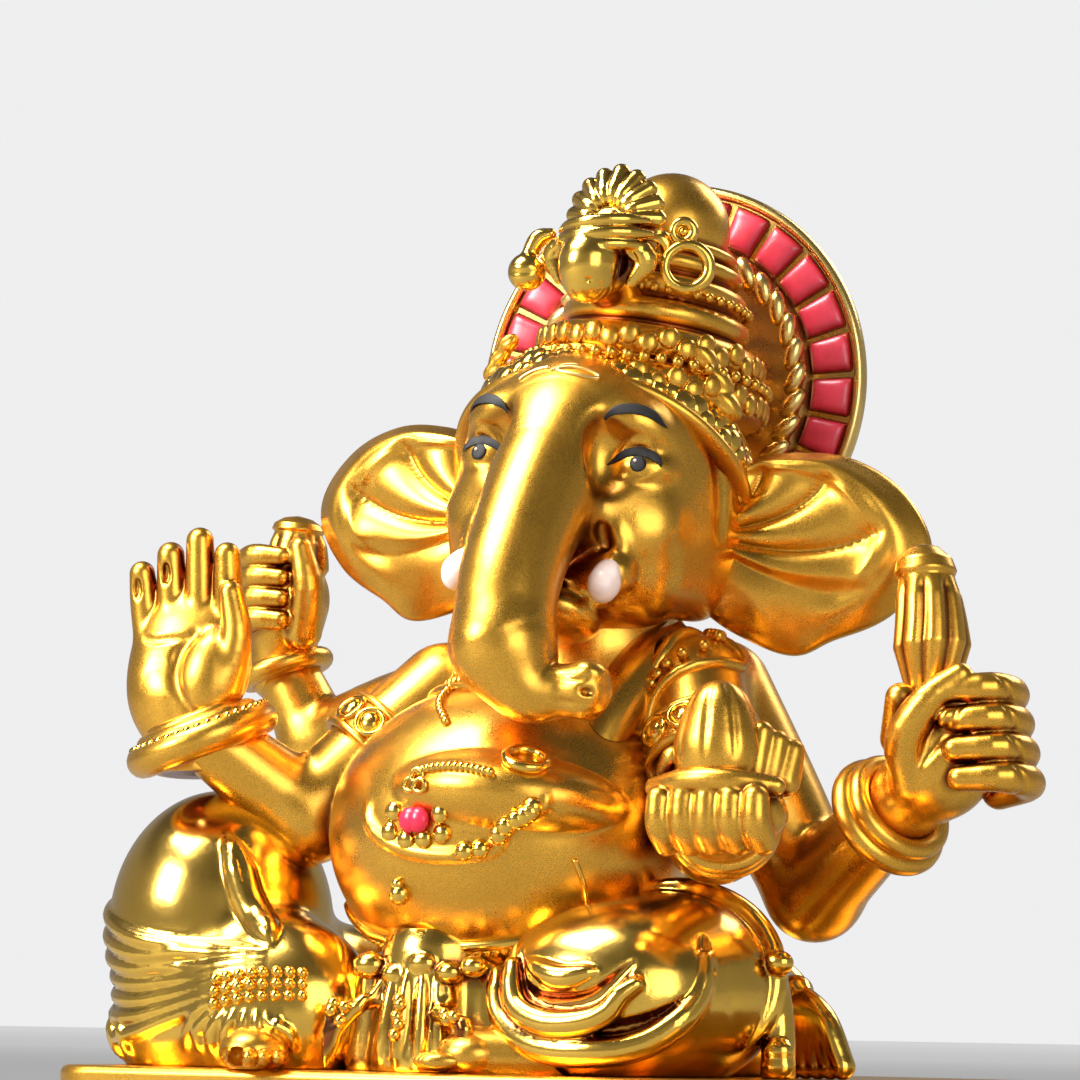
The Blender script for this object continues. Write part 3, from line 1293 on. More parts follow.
@dataclass
class Body:
    """Belly, chest, neck and the four arms, as one cast form, with the jewels that lie on it."""

    plate: tuple[float, float, float] = (1.8, -27.6, 33.2)
    plate_reach: tuple[float, float] = (12.4, 5.7)
    cell: float = 0.42

    def sculpt(self) -> Clay:
        """Joins belly, chest, back, neck, shoulders and arms."""
        clay = Clay((-44, -28, 15.5), (42, 17, 56), self.cell)
        clay.add(Ball((0, 3.5, 36.7), (14.6, 10.1, 16.2)))
        clay.add(Ball((0, 1, 42.5), (15.5, 10.6, 9.5)), blend=3)
        clay.add(Limb([(0, 1, 43), (2.4, -0.5, 55)], (9.5, 8.0)), blend=2.5)
        for arm in ARMS:
            mid = [0.5 * (a + b) for a, b in zip(arm.shoulder, arm.elbow)]
            clay.add(
                Limb([arm.shoulder, mid, arm.elbow], (arm.upper, arm.upper * 0.98, arm.fore * 1.04)),
                blend=1.6,
            )
            clay.add(Limb([arm.elbow, arm.wrist], (arm.fore, arm.end)), blend=1.2)
        clay.add(Ball((-2, -9.5, 31), (18, 16.5, 15)), blend=1.2)
        clay.add(Ball((1.8, -15.0, 33.2), (12.9, 12.6, 5.7), (-8, 3, 2)), blend=0.1)
        clay.fold(self._oval(np.linspace(175, 365, 15), 0.95), 0.75, 0.15, 0.3, 0.7)
        return clay

    def _oval(self, degrees: Array, share: float) -> list[list[float]]:
        """Gives points on the rim of the lens-shaped plate, or on a smaller oval inside it."""
        a = np.radians(degrees)
        x = self.plate[0] + self.plate_reach[0] * share * np.cos(a)
        z = self.plate[2] + self.plate_reach[1] * share * np.sin(a)
        return np.stack([x, self.plate[1] + 0 * a, z], -1).tolist()

    def build(self) -> None:
        """Makes the body and its jewels."""
        self.clay = self.sculpt()
        nodes = ["torso"] + [f"{arm.name}_{part}" for arm in ARMS for part in ("upper_arm", "forearm")]
        publish("body_and_arms", self.clay.surface(), Finish.SATIN, nodes, merge=False)
        self.collar()
        self.chain()
        self.belt()
        self.pendant()

    def _ring_on(
        self, centre: Point, reach: tuple[float, float], tilt: Array, count: int, lift: float
    ) -> Array:
        """Gives a closed line on the body: an ellipse round a centre, turned by tilt and moved to the
        surface."""
        a = np.linspace(0, 2 * math.pi, count, endpoint=False)
        line = np.array(centre) + np.stack([reach[0] * np.sin(a), -reach[1] * np.cos(a), 0 * a], -1) @ tilt.T
        return self.clay.snap(line, lift)

    def collar(self) -> None:
        """Lays two rolls and a row of beads round the neck."""
        parts = []
        for drop, size, count in ((0.0, 0.75, 120), (1.7, 0.6, 120)):
            line = self._ring_on((1.4, -2.0, 47.6 - drop), (12.4 + drop, 12.6 + drop), turn(32), count, 0.1)
            parts.append(hoop(line, size, self.clay.normal(line), 12))
        line = self._ring_on((1.4, -2.0, 46.8), (13.3, 13.6), turn(32), 96, 0.5)
        parts.append(beads(line, 0.62))
        publish("neck_collar_rolls", joined(parts), Finish.SATIN, ["neck_collar"])

    def _laid(self, knots: Sequence[Point], count: int, lift: float) -> Array:
        """Gives a smooth line through points, moved to the body's surface."""
        return self.clay.snap(spline(knots, count), lift)

    def chain(self) -> None:
        """Strings beads low on the plate, along its top and down the right of the neck, and adds a small
        ring."""
        low = self._laid(self._oval(np.linspace(278, 352, 6), 0.74), 8, 0.3)
        top = self._laid(self._oval(np.linspace(122, 60, 5), 0.70), 15, 0.2)
        neck = self._laid([(-6.4, -15, 48.5), (-4.6, -20, 44.8), (-2.0, -23, 42.4)], 11, 0.2)
        parts = [beads(low, 1.0, 0.8, self.clay.normal(low)), beads(top, 0.5), beads(neck, 0.5)]
        loop = self.clay.snap([(8.4, -24.0, 38.8)], 0.2)
        facing = self.clay.normal(loop)[0]
        parts.append(hoop(ring_path(loop[0], facing, 1.9, 40)[0], 0.55, facing, 12))
        publish("belly_bead_chain", joined(parts), Finish.BRIGHT, ["belly_garland"])

    def belt(self) -> None:
        """Lays the belt low round the belly: a thin roll with fine beads below it, and a cord that hangs
        down."""
        knots = [
            (-17.0, -14, 24.2),
            (-12.0, -18, 21.6),
            (-5.5, -21, 19.6),
            (3.0, -21, 19.2),
            (10.5, -17, 21.4),
            (14.5, -12, 24.0),
        ]
        roll = self._laid(knots, 90, 0.15)
        drops = self._laid([(x, y, z - 1.3) for x, y, z in knots], 44, 0.3)
        cord = self._laid([(13.2, -22, 27.6), (13.0, -20, 25.2), (12.2, -18, 22.6)], 20, 0.25)
        parts = [tube(roll, 0.62, (0, 0, 1), 12), beads(drops, 0.5), tube(cord, 0.26, (1, 0, 0), 10)]
        publish("belly_belt", joined(parts), Finish.BRIGHT, ["waist_belt"])

    def pendant(self) -> None:
        """Sets an oval red stone among leaves on the plate, three small rings above it and a drop below
        it."""
        at = self.clay.snap([(-2.6, -27.5, 31.6)], 0.15)
        facing = self.clay.normal(at)[0]
        side = unit(np.cross(facing, np.array([0, 0, 1.0])))
        up = np.cross(side, facing)
        leaves = []
        for degrees, reach in ((-150, 3.2), (-110, 2.3), (-62, 2.5), (-22, 3.4), (22, 3.0), (160, 3.0)):
            a = math.radians(degrees)
            leaves.append(at[0] + reach * math.cos(a) * side + 0.8 * reach * math.sin(a) * up)
        leaves = self.clay.snap(leaves, 0.1)
        rings = []
        for x, z in ((-2.9, 35.0), (-1.4, 34.8), (-2.1, 36.0)):
            centre = self.clay.snap([(x, -27.5, z)], 0.3)[0]
            path, _ = ring_path(centre, facing, 0.62, 20)
            rings.append(hoop(path, 0.26, facing, 8))
        drop = self.clay.snap([(-5.2, -25.0, 24.4), (-5.2, -25.0, 25.6)], 0.2)
        parts = [beads(leaves, 1.0, 0.5, facing), beads(drop, np.array([1.1, 0.6]))] + rings
        publish("pendant_leaves", joined(parts), Finish.BRIGHT, ["pendant_flower"])
        gem = np.array([at[0] - 0.45 * side, at[0] + 0.45 * side]) + 0.35 * facing
        publish("pendant_red_stone", beads(gem, 1.25, 0.6, facing), Finish.STONE, ["pendant_gem"])


def arm_of(name: str) -> Arm:
    """Gives the arm of a name."""
    return next(arm for arm in ARMS if arm.name == name)


def along(arm: Arm, share: float, upper: bool) -> tuple[Array, Array]:
    """Gives a point of an arm's bone, and the bone's direction.

    Args:
        arm: which arm.
        share: how far along the bone.
        upper: whether it is the upper arm rather than the forearm.
    """
    start, end = (arm.shoulder, arm.elbow) if upper else (arm.elbow, arm.wrist)
    way = np.array(end, float) - np.array(start, float)
    return np.array(start) + share * way, unit(way)


def ring_path(
    centre: Array, axis: Array, reach: float, count: int, start: Point = (0, 0, 1)
) -> tuple[Array, Array]:
    """Gives a circle of points square to an axis, and the outward direction at each."""
    axis = unit(np.array(axis, float))
    first = unit(np.array(start, float) - axis * float(np.dot(start, axis)))
    second = np.cross(axis, first)
    a = np.linspace(0, 2 * math.pi, count, endpoint=False)
    out = np.cos(a)[:, None] * first + np.sin(a)[:, None] * second
    return centre + reach * out, out


@dataclass
class Hands:
    """The four hands, each sculpted at its wrist, with what three of them hold."""

    palm: tuple[float, float, float] = (-33.8, -19.2, 40.2)
    palm_cell: float = 0.19
    fist_cell: float = 0.22
    cup_cell: float = 0.24
    sweet_cell: float = 0.25

    def open_palm(self) -> None:
        """Sculpts the raised right hand: a broad palm to the front, four upright fingers and a folded
        thumb."""
        place = Place(np.array(self.palm), turn(-4, -2, 10))
        clay = Clay((-8.5, -6, -3), (8.5, 5.5, 21.6), self.palm_cell)
        clay.add(Ball((0, 0.2, 8.0), (6.3, 2.9, 7.6)))
        clay.add(Ball((-2.2, 0.0, 5.0), (4.0, 3.4, 5.6)), blend=1.5)
        clay.add(Limb([(0.3, 0.8, -2.5), (0, 0.4, 4)], (3.6, 3.8)), blend=2)
        for x, top, size in ((-4.75, 16.9, 1.5), (-1.7, 18.6, 1.6), (1.4, 19.9, 1.6), (4.35, 18.3, 1.5)):
            finger = [(x * 0.92, 0.1, 10.5), (x, -0.3, 14.2), (x * 1.02, -0.9, top)]
            clay.add(Limb(finger, (size * 1.05, size, size * 0.86)), blend=0.35)
        clay.add(Ball((2.9, -1.9, 5.6), (3.1, 2.3, 5.0), (0, 12, 0)), blend=1.0)
        clay.add(Limb([(4.4, -1.2, 5.0), (6.1, -1.8, 9.6), (5.5, -2.2, 14.2)], (2.1, 1.6, 1.2)), blend=0.5)
        clay.crease([(2.2, -4, 13.2), (0.2, -4, 9.4), (0.4, -4, 5.2), (2.4, -4, 1.6)], 0.42, 0.9)
        clay.crease([(-5.0, -4, 11.4), (-2.4, -4, 10.6), (0.2, -4, 10.9)], 0.3, 0.6)
        for x, z in ((-4.9, 15.2), (-1.75, 16.6)):
            clay.carve(Ball((x, -2.0, z), (0.42, 0.7, 1.1)), blend=0.25)
        clay.fold([(6.3, 0.6, 2.0), (7.0, 0.6, 8.0), (6.4, 0.4, 14.0)], 0.75, 0.3)
        publish(
            "hand_of_blessing", clay.surface().placed(place), Finish.SATIN, ["right_front_hand"], merge=False
        )

    def left_fist(self) -> None:
        """Sculpts the left back hand: four fingers closed round a stem, with the thumb across it."""
        clay = Clay((31, -13, 28), (52, 4, 50), self.fist_cell)
        wrist = np.array(arm_of("left_back").wrist)
        clay.add(Limb([wrist - (1.5, -0.8, 1.0), (40.5, -4.0, 36.6)], (3.6, 4.2)))
        clay.add(Ball((42.0, -3.8, 38.2), (4.9, 4.4, 5.6), (0, 20, 0)), blend=1.5)
        for number in range(4):
            z = 44.0 - 2.75 * number
            x = 0.55 * number
            finger = [
                (44.2 + x, -0.4, z - 0.6),
                (48.0 + x, -2.4, z),
                (47.6 + x, -6.4, z + 0.4),
                (43.6 + x, -8.0, z + 0.2),
            ]
            clay.add(Limb(finger, (1.7, 1.62, 1.5, 1.2)), blend=0.22)
            clay.crease(
                [(48.0 + x, -6.8, z + 1.0), (48.8 + x, -5.8, z), (48.0 + x, -5.6, z - 1.0)], 0.25, 0.3
            )
        thumb = [(39.6, -6.4, 35.6), (39.8, -8.4, 39.6), (42.2, -8.6, 43.2), (45.0, -7.6, 45.6)]
        clay.add(Limb(thumb, (2.0, 1.9, 1.6, 1.15)), blend=0.4)
        clay.add(Limb([(37.6, -5.0, 40.0), (38.6, -6.8, 43.6)], (1.8, 1.5)), blend=0.8)
        clay.crease([(41.6, -8.4, 37.4), (43.6, -8.2, 40.4), (45.6, -8.0, 42.4)], 0.45, 0.6)
        publish("left_fist", clay.surface(), Finish.SATIN, ["left_back_hand"], merge=False)

    def right_fist(self) -> None:
        """Sculpts the right back hand, closed round the foot of a bud."""
        clay = Clay((-44, -5, 46), (-28, 10, 66), self.fist_cell)
        clay.add(Limb([(-38.2, 4.0, 49.0), (-37.4, 3.6, 53.0)], (3.3, 3.6)))
        clay.add(Ball((-36.6, 2.8, 56.4), (4.4, 4.3, 5.0)), blend=1.4)
        for number in range(4):
            z = 53.6 + 2.2 * number
            finger = [(-39.4, 4.6, z - 0.8), (-40.4, 1.0, z), (-38.2, -1.2, z + 0.5), (-35.0, -1.0, z + 0.3)]
            clay.add(Limb(finger, (1.4, 1.35, 1.25, 1.0)), blend=0.2)
        clay.add(
            Limb([(-33.6, 1.4, 52.8), (-32.4, 0.2, 57.0), (-33.2, -0.2, 61.4)], (1.9, 1.7, 1.2)), blend=0.5
        )
        publish("right_fist", clay.surface(), Finish.SATIN, ["right_back_hand"], merge=False)

    def cupped(self) -> None:
        """Sculpts the left front hand, a cup of upright fingers, and the creased sweet behind them."""
        clay = Clay((18, -31, 25.5), (38.5, -15, 42), self.cup_cell)
        clay.add(Limb([(26.6, -19.6, 31.6), (28.0, -22.5, 31.8)], (3.6, 4.0)))
        clay.add(Ball((29.0, -24.2, 32.0), (6.4, 3.9, 3.6)), blend=1.4)
        for number in range(5):
            x = 24.2 + 2.45 * number
            finger = [(x, -25.8, 29.4), (x, -27.3, 31.0), (x, -27.4, 33.2)]
            clay.add(Limb(finger, (1.3, 1.35, 1.25)), blend=0.6)
        clay.add(
            Limb(
                [(22.8, -25.6, 34.4), (27.0, -27.6, 34.9), (31.0, -27.5, 34.9), (35.0, -25.4, 34.4)],
                (1.0, 1.1, 1.1, 0.9),
                8,
            ),
            blend=0.25,
        )
        for number in range(3):
            finger = [
                (32.0 + 1.1 * number, -24.0 + number, 35.0),
                (32.4 + 1.1 * number, -23.2 + number, 39.4 - 0.8 * number),
            ]
            clay.add(Limb(finger, (1.4, 1.1)), blend=0.3)
        clay.add(
            Limb([(24.4, -21.4, 33.4), (23.2, -23.0, 35.4), (24.2, -24.8, 37.2)], (1.8, 1.5, 1.1)), blend=0.5
        )
        publish("cupped_hand", clay.surface(), Finish.SATIN, ["left_front_hand"], merge=False)
        sweet = Clay((23, -30, 32), (34, -19, 46), self.sweet_cell)
        sweet.add(Ball((28.6, -24.4, 37.8), (4.2, 3.8, 5.0)))
        sweet.add(Ball((28.7, -24.5, 41.4), (2.8, 2.6, 2.8)), blend=1.4)
        for number in range(9):
            a = 2 * math.pi * number / 9
            way = np.array([math.cos(a), math.sin(a)])
            arc = [
                (28.4 + r * way[0], -24.2 + r * way[1], z) for r, z in ((4.0, 37.0), (3.4, 40.6), (1.6, 43.4))
            ]
            sweet.crease(arc, 0.26, 0.4)
        publish("round_sweet", sweet.surface(), Finish.SATIN, ["sweet"], merge=False)

    def bud(self, name: str, foot: Point, tip: Point, width: float, petals: int) -> None:
        """Carries a bud's profile along its stem: radius = width * fat(t) * (1 - 0.13 * petal(t) * ridge^4),
        where ridge is |cos(petals * a / 2 + 1.6 t)|, and petal(t) fades it at the foot and near the tip."""
        t, a = np.meshgrid(np.linspace(0, 1, 90), np.linspace(0, 2 * math.pi, 121), indexing="ij")
        fat = np.interp(
            t,
            (0, 0.12, 0.4, 0.68, 0.80, 0.83, 0.90, 0.97, 1),
            (0.02, 0.62, 1, 0.86, 0.72, 0.80, 0.72, 0.42, 0.0),
        )
        fat = np.where((t > 0) & (t < 1), fat, 0)
        ridge = np.abs(np.cos(petals * a / 2 + 1.6 * t))
        petal = np.clip(t / 0.1, 0, 1) * np.clip((0.80 - t) / 0.08, 0, 1)
        radius = width * fat * (1 - 0.13 * petal * ridge**4)
        centre = spline([foot, 0.5 * (np.array(foot) + tip) + (0.5, 0, 0), tip], 90)
        way = unit(np.array(tip, float) - np.array(foot, float))
        side = unit(np.cross(way, (0, 1.0, 0)))
        front = np.cross(side, way)
        points = centre[:, None] + (
            radius * np.cos(a)
        )[..., None] * side + (radius * np.sin(a))[..., None] * front
        publish(f"{name}_flower_bud", grid(points, petal * ridge**4 * 0.8), Finish.SATIN, [f"{name}_bud"])

    def build(self) -> None:
        """Makes all four hands and what they hold."""
        self.open_palm()
        self.left_fist()
        self.right_fist()
        self.cupped()
        self.bud("left", (40.6, -4.4, 42.0), (38.9, -2.9, 58.6), 3.7, 8)
        self.bud("right", (-36.4, 2.8, 56.0), (-35.6, 2.9, 65.2), 3.5, 7)


class Jewels:
    """Bangles at the wrists and armlets on the front arms."""

    def bangle(
        self, name: str, centre: Point, axis: Point, reach: float, wires: Sequence[tuple[float, float, float]]
    ) -> None:
        """Makes a bangle of one or more rolls, each given by its shift along the axis, its growth and its
        wire."""
        axis = unit(np.array(axis, float))
        parts = []
        for shift, grow, wire in wires:
            path, _ = ring_path(np.array(centre) + shift * axis, axis, reach + grow, 96)
            parts.append(hoop(path, wire, axis, 16))
        publish(f"{name}_wrist_bangle", joined(parts), Finish.SATIN, [f"{name}_bangle"])

    def armlet(self, name: str, facing: Point) -> None:
        """Makes an armlet: two fine rolls beside a flat belt, with three round stones in collars on its
        front."""
        arm = arm_of(name)
        centre, axis = along(arm, 0.47, True)
        parts = []
        for shift, wire in ((-1.9, 0.5), (1.9, 0.5), (0.0, 0.0)):
            path, out = ring_path(centre + shift * axis, axis, arm.upper + 0.35, 96)
            parts.append(hoop(path, wire, axis, 12) if wire else hoop(path - 0.1 * out, 0.45, axis, 12, 4.2))
        first = unit(np.array(facing, float) - axis * float(np.dot(facing, axis)))
        second = np.cross(axis, first)
        stones, collars, ways = [], [], []
        for degrees in (-32, 0, 32):
            a = math.radians(degrees)
            way = math.cos(a) * first + math.sin(a) * second
            at = centre + (arm.upper + 0.75) * way
            path, _ = ring_path(at, way, 1.42, 32, axis)
            collars.append(hoop(path, 0.3, way, 10))
            stones.append(at - 0.1 * way)
            ways.append(way)
        publish(f"{name}_armlet_band", joined(parts), Finish.SATIN, [f"{name}_armlet"])
        gems = beads(np.array(stones), 1.25, 0.55, np.array(ways))
        publish(
            f"{name}_armlet_cabochons", joined(collars + [gems]), Finish.BRIGHT, [f"{name}_armlet_stones"]
        )

    def build(self) -> None:
        """Makes all bangles and both armlets."""
        flare = ((-0.2, 0.3, 1.7), (0.9, -0.7, 1.3), (1.9, -1.6, 0.8))
        self.bangle("right_front", (-32.2, -18.8, 40.4), (-0.28, -0.25, 0.93), 5.9, flare)
        path, _ = ring_path(np.array([-32.4, -19.0, 41.4]), np.array([-0.28, -0.25, 0.93]), 6.9, 40)
        publish("right_front_bangle_beads", beads(path, 0.5), Finish.BRIGHT)
        self.bangle("right_back", (-37.6, 4.0, 49.2), (-0.3, -0.1, 0.95), 4.2, ((0, 0, 1.1),))
        self.bangle(
            "left_back", (35.8, -2.3, 33.2), (0.80, -0.36, 0.48), 4.6, ((-0.9, 0.5, 1.15), (0.9, 0, 1.0))
        )
        self.bangle(
            "left_front", (26.6, -19.4, 31.8), (0.5, -0.86, 0.1), 4.6, ((-0.6, 0, 1.0), (0.8, -0.2, 0.9))
        )
        self.armlet("right_front", (0.3, -1.0, 0.45))
        self.armlet("left_front", (0.2, -1.0, 0.3))


@dataclass
class Legs:
    """Seated legs under a draped cloth, hips and the pleated front."""

    leg_cell: float = 0.3
    hip_cell: float = 0.42
    cloth_cell: float = 0.22

    def right(self) -> None:
        """Sculpts the raised right knee, the folds that sweep from its outer side and gather at its inner
        side."""
        clay = Clay((-45, -28, 7.5), (-9, 6, 37), self.leg_cell)
        clay.add(Ball((-32.5, -14, 21.8), (11.2, 11.2, 13.6)))
        clay.add(Ball((-23, -18.5, 13.8), (10.6, 8.0, 9.4)), blend=2.5)
        clay.add(Limb([(-32, -8, 15), (-24, 0, 15)], (9.5, 7.0)), blend=3)
        clay.add(Ball((-33, -15, 12), (9.6, 9.4, 7.5)), blend=2)
        for number in range(7):
            outer = (-43.5, -14.0, 25.6 - 2.1 * number)
            lower = (-39.0, -21.0, 22.2 - 1.9 * number)
            middle = (-31.5, -25.5, 19.8 - 1.25 * number)
            inner = (-20.0, -26.0, 20.4 - 0.75 * number)
            clay.fold([outer, lower, middle, inner], 0.95 - 0.03 * number, 0.3, 0.15)
        for number in range(4):
            top = (-42.5 + 1.6 * number, -17.0 - 1.8 * number, 14.0 - 0.4 * number)
            foot = (-42.0 + 1.7 * number, -18.0 - 1.8 * number, 8.4)
            clay.fold([top, foot], 0.8, 0.3, 0.15)
        clay.fold([(-26.5, -22, 31.5), (-22.5, -24, 26.5), (-19.5, -25, 21.0)], 1.7, 0.3, 0.1)
        clay.crease([(-25.0, -23, 31.0), (-21.5, -25, 26.0)], 0.4, 0.3)
        for number in range(8):
            x = -30.0 + 2.1 * number
            clay.fold(
                [(0.6 * x - 8.0, -27, 13.6), (0.9 * x - 2.0, -27, 11.0), (x, -26.5, 8.4)], 0.75, 0.25, 0.2
            )
        clay.cut_below(PLINTH_TOP)
        rows = []
        for drop in (0.0, 1.25, 2.5):
            hem = clay.snap(
                spline([(-24.5, -27, 16.6 - drop), (-20, -26.5, 17.4 - drop), (-15.5, -25, 17.6 - drop)], 8),
                0.1,
            )
            rows.append(beads(hem, 0.6))
        publish("knee_hem_beads", joined(rows), Finish.BRIGHT)
        publish("draped_right_leg", clay.surface(), Finish.BRIGHT, ["right_leg"], merge=False)

    def left(self) -> None:
        """Sculpts the folded left leg: thick nested bands that hang in curves, with deep gaps, and a ribbon
        beside."""
        clay = Clay((0.5, -29.0, 7.5), (31.5, 2, 28), self.leg_cell)
        clay.add(Ball((13.8, -17.5, 15.5), (11.2, 8.0, 8.8)))
        clay.add(Ball((16.3, -10.8, 16.1), (11.1, 10.9, 9.5)), blend=2)
        bands = (
            [
                (3.0, -21.5, 17.6),
                (4.6, -24.0, 12.2),
                (9.6, -25.8, 9.4),
                (16.5, -24.5, 10.0),
                (22.4, -19.0, 13.4),
                (23.4, -17.0, 18.4),
            ],
            [
                (6.4, -24.0, 18.4),
                (7.6, -25.5, 14.2),
                (11.6, -26.2, 12.6),
                (16.4, -25.4, 13.2),
                (19.6, -22.4, 16.2),
            ],
        )
        for number, knots in enumerate(bands):
            clay.crease([(0.94 * x + 0.8, y, z + 1.9) for x, y, z in knots], 1.1, 0.3, 0.0)
            clay.fold(knots, 1.55 - 0.15 * number, 0.15, -0.1, 0.55)
        clay.fold([(9.0, -24.0, 18.4), (13.0, -25.0, 17.0), (16.5, -24.5, 17.6)], 1.2, 0.2, 0.0)
        clay.fold(
            [
                (10.5, -13.0, 25.0),
                (17.0, -10.5, 25.6),
                (23.0, -9.0, 22.8),
                (26.5, -10.0, 17.0),
                (26.0, -12.0, 11.0),
            ],
            1.5,
            0.3,
            0.0,
        )
        clay.add(
            Limb([(26.6, -9.6, 19.6), (27.4, -9.4, 14.0), (27.6, -9.6, 8.6)], (1.2, 1.5, 1.7), 8), blend=0.2
        )
        for z, size in ((18.8, 1.5), (10.6, 1.6), (9.2, 1.7)):
            clay.add(Ball((28.0, -10.6, z), (size, 1.2, 0.8 * size)), blend=0.15)
        clay.cut_below(PLINTH_TOP)
        publish("draped_left_leg", clay.surface(), Finish.BRIGHT, ["left_leg"], merge=False)

    def hips(self) -> None:
        """Sculpts the hips under the cloth, with folds that fall at the back."""
        clay = Clay((-25, -15, 7.5), (25.5, 21, 26), self.hip_cell)
        clay.add(Ball((0, 3, 14.2), (23.6, 16.6, 10.0)))
        for number in range(9):
            a = math.radians(18 + 18 * number)
            way = np.array([math.cos(a), math.sin(a)])
            line = [
                (20 * way[0], 3 + 13 * way[1], 22.0),
                (23.4 * way[0], 3 + 16.0 * way[1], 15.5),
                (22.6 * way[0], 3 + 15.4 * way[1], 8.6),
            ]
            clay.fold(line, 0.9, 0.6)
        clay.cut_below(PLINTH_TOP)
        publish("draped_hips", clay.surface(), Finish.BRIGHT, ["hips"], merge=False)

    def apron(self) -> None:
        """Sculpts the cloth between the legs: soft pleats, a knot of lumps and clusters of beads."""
        clay = Clay((-15, -25.5, 7.5), (6, -14, 21), self.cloth_cell)
        clay.add(Limb([(-4.5, -18.0, 18.6), (-4.5, -18.8, 9.0)], (5.6, 6.0)))
        clay.add(Limb([(-10.5, -18.0, 16.6), (-11.0, -18.4, 9.0)], (2.8, 3.2)), blend=1.0)
        clay.add(Limb([(1.0, -18.0, 16.6), (2.0, -18.4, 9.0)], (2.8, 3.2)), blend=1.0)
        for number in range(7):
            x = -12.0 + 2.4 * number
            clay.fold([(0.75 * x - 1.0, -24, 17.6), (x, -25, 12.6), (1.06 * x, -25, 8.4)], 0.8, 0.3, 0.15)
        for x, z, size in (
            (-9.4, 18.0, 1.7), (-6.4, 17.2, 1.4), (-3.4, 18.2, 1.6), (-0.4, 17.4, 1.4), (2.2, 18.0, 1.3)
        ):
            clay.add(Ball((x, -22.8, z), (size, 1.3, 0.8 * size)), blend=0.2)
        clay.cut_below(PLINTH_TOP)
        publish("pleated_apron", clay.surface(), Finish.BRIGHT, ["apron_pleats"], merge=False)
        spots = [
            (-11.5, 16.0), (-10.3, 14.9), (-11.6, 13.8), (-10.4, 12.7), (-4.6, 15.6), (-3.4, 14.6),
            (-4.7, 13.6), (-3.5, 12.6), (-4.6, 11.6),
        ]
        studs = clay.snap([(x, -26, z) for x, z in spots + [(0.6, 15.2), (1.8, 14.2), (0.7, 13.2)]], 0.2)
        publish("apron_beads", beads(studs, 0.66), Finish.BRIGHT)

    def tail(self) -> None:
        """Sculpts the end of cloth beside the left leg, fanned into pleats, with a knotted ribbon above
        it."""
        low, high = (np.array(corner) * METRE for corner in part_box("cloth_tail"))
        clay = Clay((low - 1.5).tolist(), (high + 1.5).tolist(), self.cloth_cell)
        top = np.array([low[0] + 1.6, 0.5 * (low[1] + high[1]), high[2] - 1.6])
        for number in range(5):
            share = number / 4
            end = np.array(
                [low[0] + 2.5 + share * (high[0] - low[0] - 4.0), low[1] + 1.4 + (1 - share) * 0.6, 9.2]
            )
            middle = 0.5 * (top + end) + (0.8, -0.6, 0.9)
            clay.add(Limb([top.tolist(), middle.tolist(), end.tolist()], (1.3, 1.35, 1.25), 6), blend=0.12)
        clay.add(Ball(top.tolist(), (1.9, 1.9, 1.7)), blend=0.3)
        clay.cut_below(PLINTH_TOP)
        publish("pleated_cloth_tail", clay.surface(), Finish.BRIGHT, ["cloth_tail"], merge=False)

    def build(self) -> None:
        """Makes both legs, the hips and the cloth round them."""
        self.right()
        self.left()
        self.hips()
        self.apron()
        self.tail()


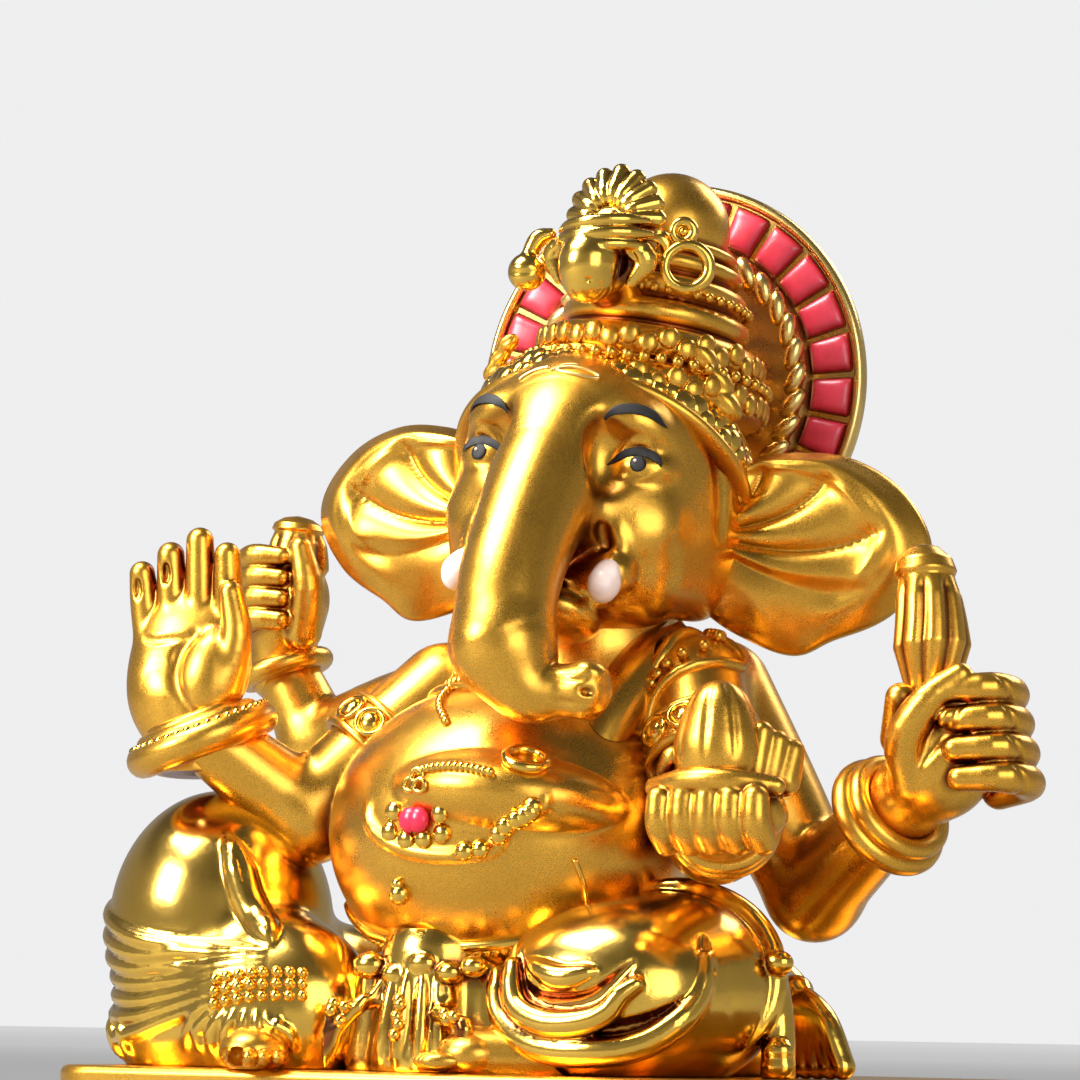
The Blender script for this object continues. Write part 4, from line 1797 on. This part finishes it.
# ---- the setting --------------------------------------------------------------------------
@dataclass
class Studio:
    """Camera, lamps, pale floor and surroundings."""

    azimuth: float = 30.0
    elevation: float = -6.5
    roll: float = 1.0
    distance: float = 420.0
    target_height: float = 60.8
    target_shift: float = -4.0
    lens: float = 140.0
    sensor: float = 36.0
    lamp_height: float = 50.0
    floor_height: float = -0.05
    pale_sky: tuple[float, float, float] = (0.86, 0.86, 0.87)
    reflected_sky: tuple[tuple[float, float], ...] = ((0.0, 0.30), (0.40, 0.26), (0.56, 0.10), (1.0, 0.09))
    floor_levels: tuple[tuple[float, float], ...] = ((0.08, 0.20), (0.2, 0.38), (0.4, 0.66), (0.8, 0.82))

    def camera(self) -> None:
        """Sets the camera at the viewing angle."""
        a, e, r = (math.radians(v) for v in (self.azimuth, self.elevation, self.roll))
        back = np.array([math.sin(a) * math.cos(e), -math.cos(a) * math.cos(e), math.sin(e)])
        right = np.array([math.cos(a), math.sin(a), 0.0])
        up = np.cross(back, right)
        target = np.array([0, 0, self.target_height]) + self.target_shift * right
        rolled_right = right * math.cos(r) + up * math.sin(r)
        rolled_up = up * math.cos(r) - right * math.sin(r)
        data = bpy.data.cameras.new("camera")
        data.lens, data.sensor_width = self.lens, self.sensor
        data.clip_start, data.clip_end = 0.01, 20.0
        eye = bpy.data.objects.new("camera", data)
        bpy.context.scene.collection.objects.link(eye)
        matrix = np.eye(4)
        matrix[:3, 0], matrix[:3, 1], matrix[:3, 2] = rolled_right, rolled_up, back
        matrix[:3, 3] = (target + self.distance * back) * MM
        eye.matrix_world = Matrix(matrix.tolist())
        bpy.context.scene.camera = eye

    def lamp(self, name: str, at: Point, size: float, power: float, colour: Point = (1, 1, 1)) -> None:
        """Sets a soft square lamp that faces the middle of the idol.

        Args:
            name: the lamp's name.
            at: where it stands, in millimetres.
            size: its side.
            power: its strength in watts.
            colour: its colour.
        """
        data = bpy.data.lights.new(name, "AREA")
        data.size, data.energy, data.color = size * MM, power, colour
        lamp = bpy.data.objects.new(name, data)
        bpy.context.scene.collection.objects.link(lamp)
        back = unit(np.array(at, float) - np.array([0, 0, self.lamp_height]))
        right = unit(np.cross(np.array([0, 0, 1.0]), back))
        matrix = np.eye(4)
        matrix[:3, 0], matrix[:3, 1], matrix[:3, 2] = right, np.cross(back, right), back
        matrix[:3, 3] = np.array(at) * MM
        lamp.matrix_world = Matrix(matrix.tolist())

    def world(self) -> None:
        """Makes the surroundings: plain and pale, but darker in what metal reflects, most so overhead."""
        world = bpy.data.worlds.new("studio")
        bpy.context.scene.world = world
        g = Graph(world, "Background")
        rise = g.node("ShaderNodeSeparateXYZ", {}, {0: g.node("ShaderNodeTexCoord", output="Generated")}, "Z")
        reflected = g.node("ShaderNodeLightPath", output="Is Glossy Ray")
        stops = [(at, (level, level, level * 1.02)) for at, level in self.reflected_sky]
        g.set(color=g.mix(reflected, self.pale_sky, g.ramp(rise, *stops)))

    def floor(self) -> None:
        """Lays a floor under the idol, darker near it, where the lamps are close, so that it looks evenly
        pale."""
        rings = np.array([0, 150, 600, 3000.0])
        radius, angle = np.meshgrid(rings, np.linspace(0, 2 * math.pi, 65), indexing="ij")
        below = np.full_like(radius, self.floor_height)
        disc = np.stack([radius * np.cos(angle), radius * np.sin(angle), below], -1)
        mesh = bpy.data.meshes.new("pale_floor")
        form = grid(disc)
        mesh.from_pydata((form.points * MM).tolist(), [], form.faces[:, ::-1].tolist())
        floor = bpy.data.objects.new("pale_floor", mesh)
        bpy.context.scene.collection.objects.link(floor)
        g = Graph(bpy.data.materials.new("pale_floor"))
        away = g.node("ShaderNodeVectorMath", {"operation": "LENGTH"}, {0: g.place(1.0)}, "Value")
        stops = [(at, (level, level, 0.985 * level)) for at, level in self.floor_levels]
        g.set(base_color=g.ramp(away * (1 / 3), *stops), roughness=0.75)
        mesh.materials.append(g.owner)

    def build(self) -> None:
        """Sets up the whole studio."""
        self.camera()
        self.world()
        self.floor()
        self.lamp("key", (-260, -420, 260), 190, 3.1)
        self.lamp("top", (-150, -160, 400), 200, 3.2)
        self.lamp("fill", (420, -300, 160), 300, 0.9)
        self.lamp("rim", (120, 380, 380), 240, 0.9)
        bpy.context.scene.view_settings.view_transform = "Standard"


def dress_rest() -> None:
    """Gives every CAD node that still shows its finish."""
    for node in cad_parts.values():
        if node.hide_render:
            continue
        node.data.materials.clear()
        node.data.materials.append(Finish.SATIN.made())


def main() -> None:
    """Builds the studio, then the idol piece by piece."""
    logging.basicConfig(level=logging.INFO, format="%(message)s")
    Studio().build()
    Head().build()
    for side in (1, -1):
        Ear(side).build()
    Crown().build()
    Halo().build()
    Body().build()
    Hands().build()
    Jewels().build()
    Legs().build()
    dress_rest()


if __name__ == "__main__":
    main()
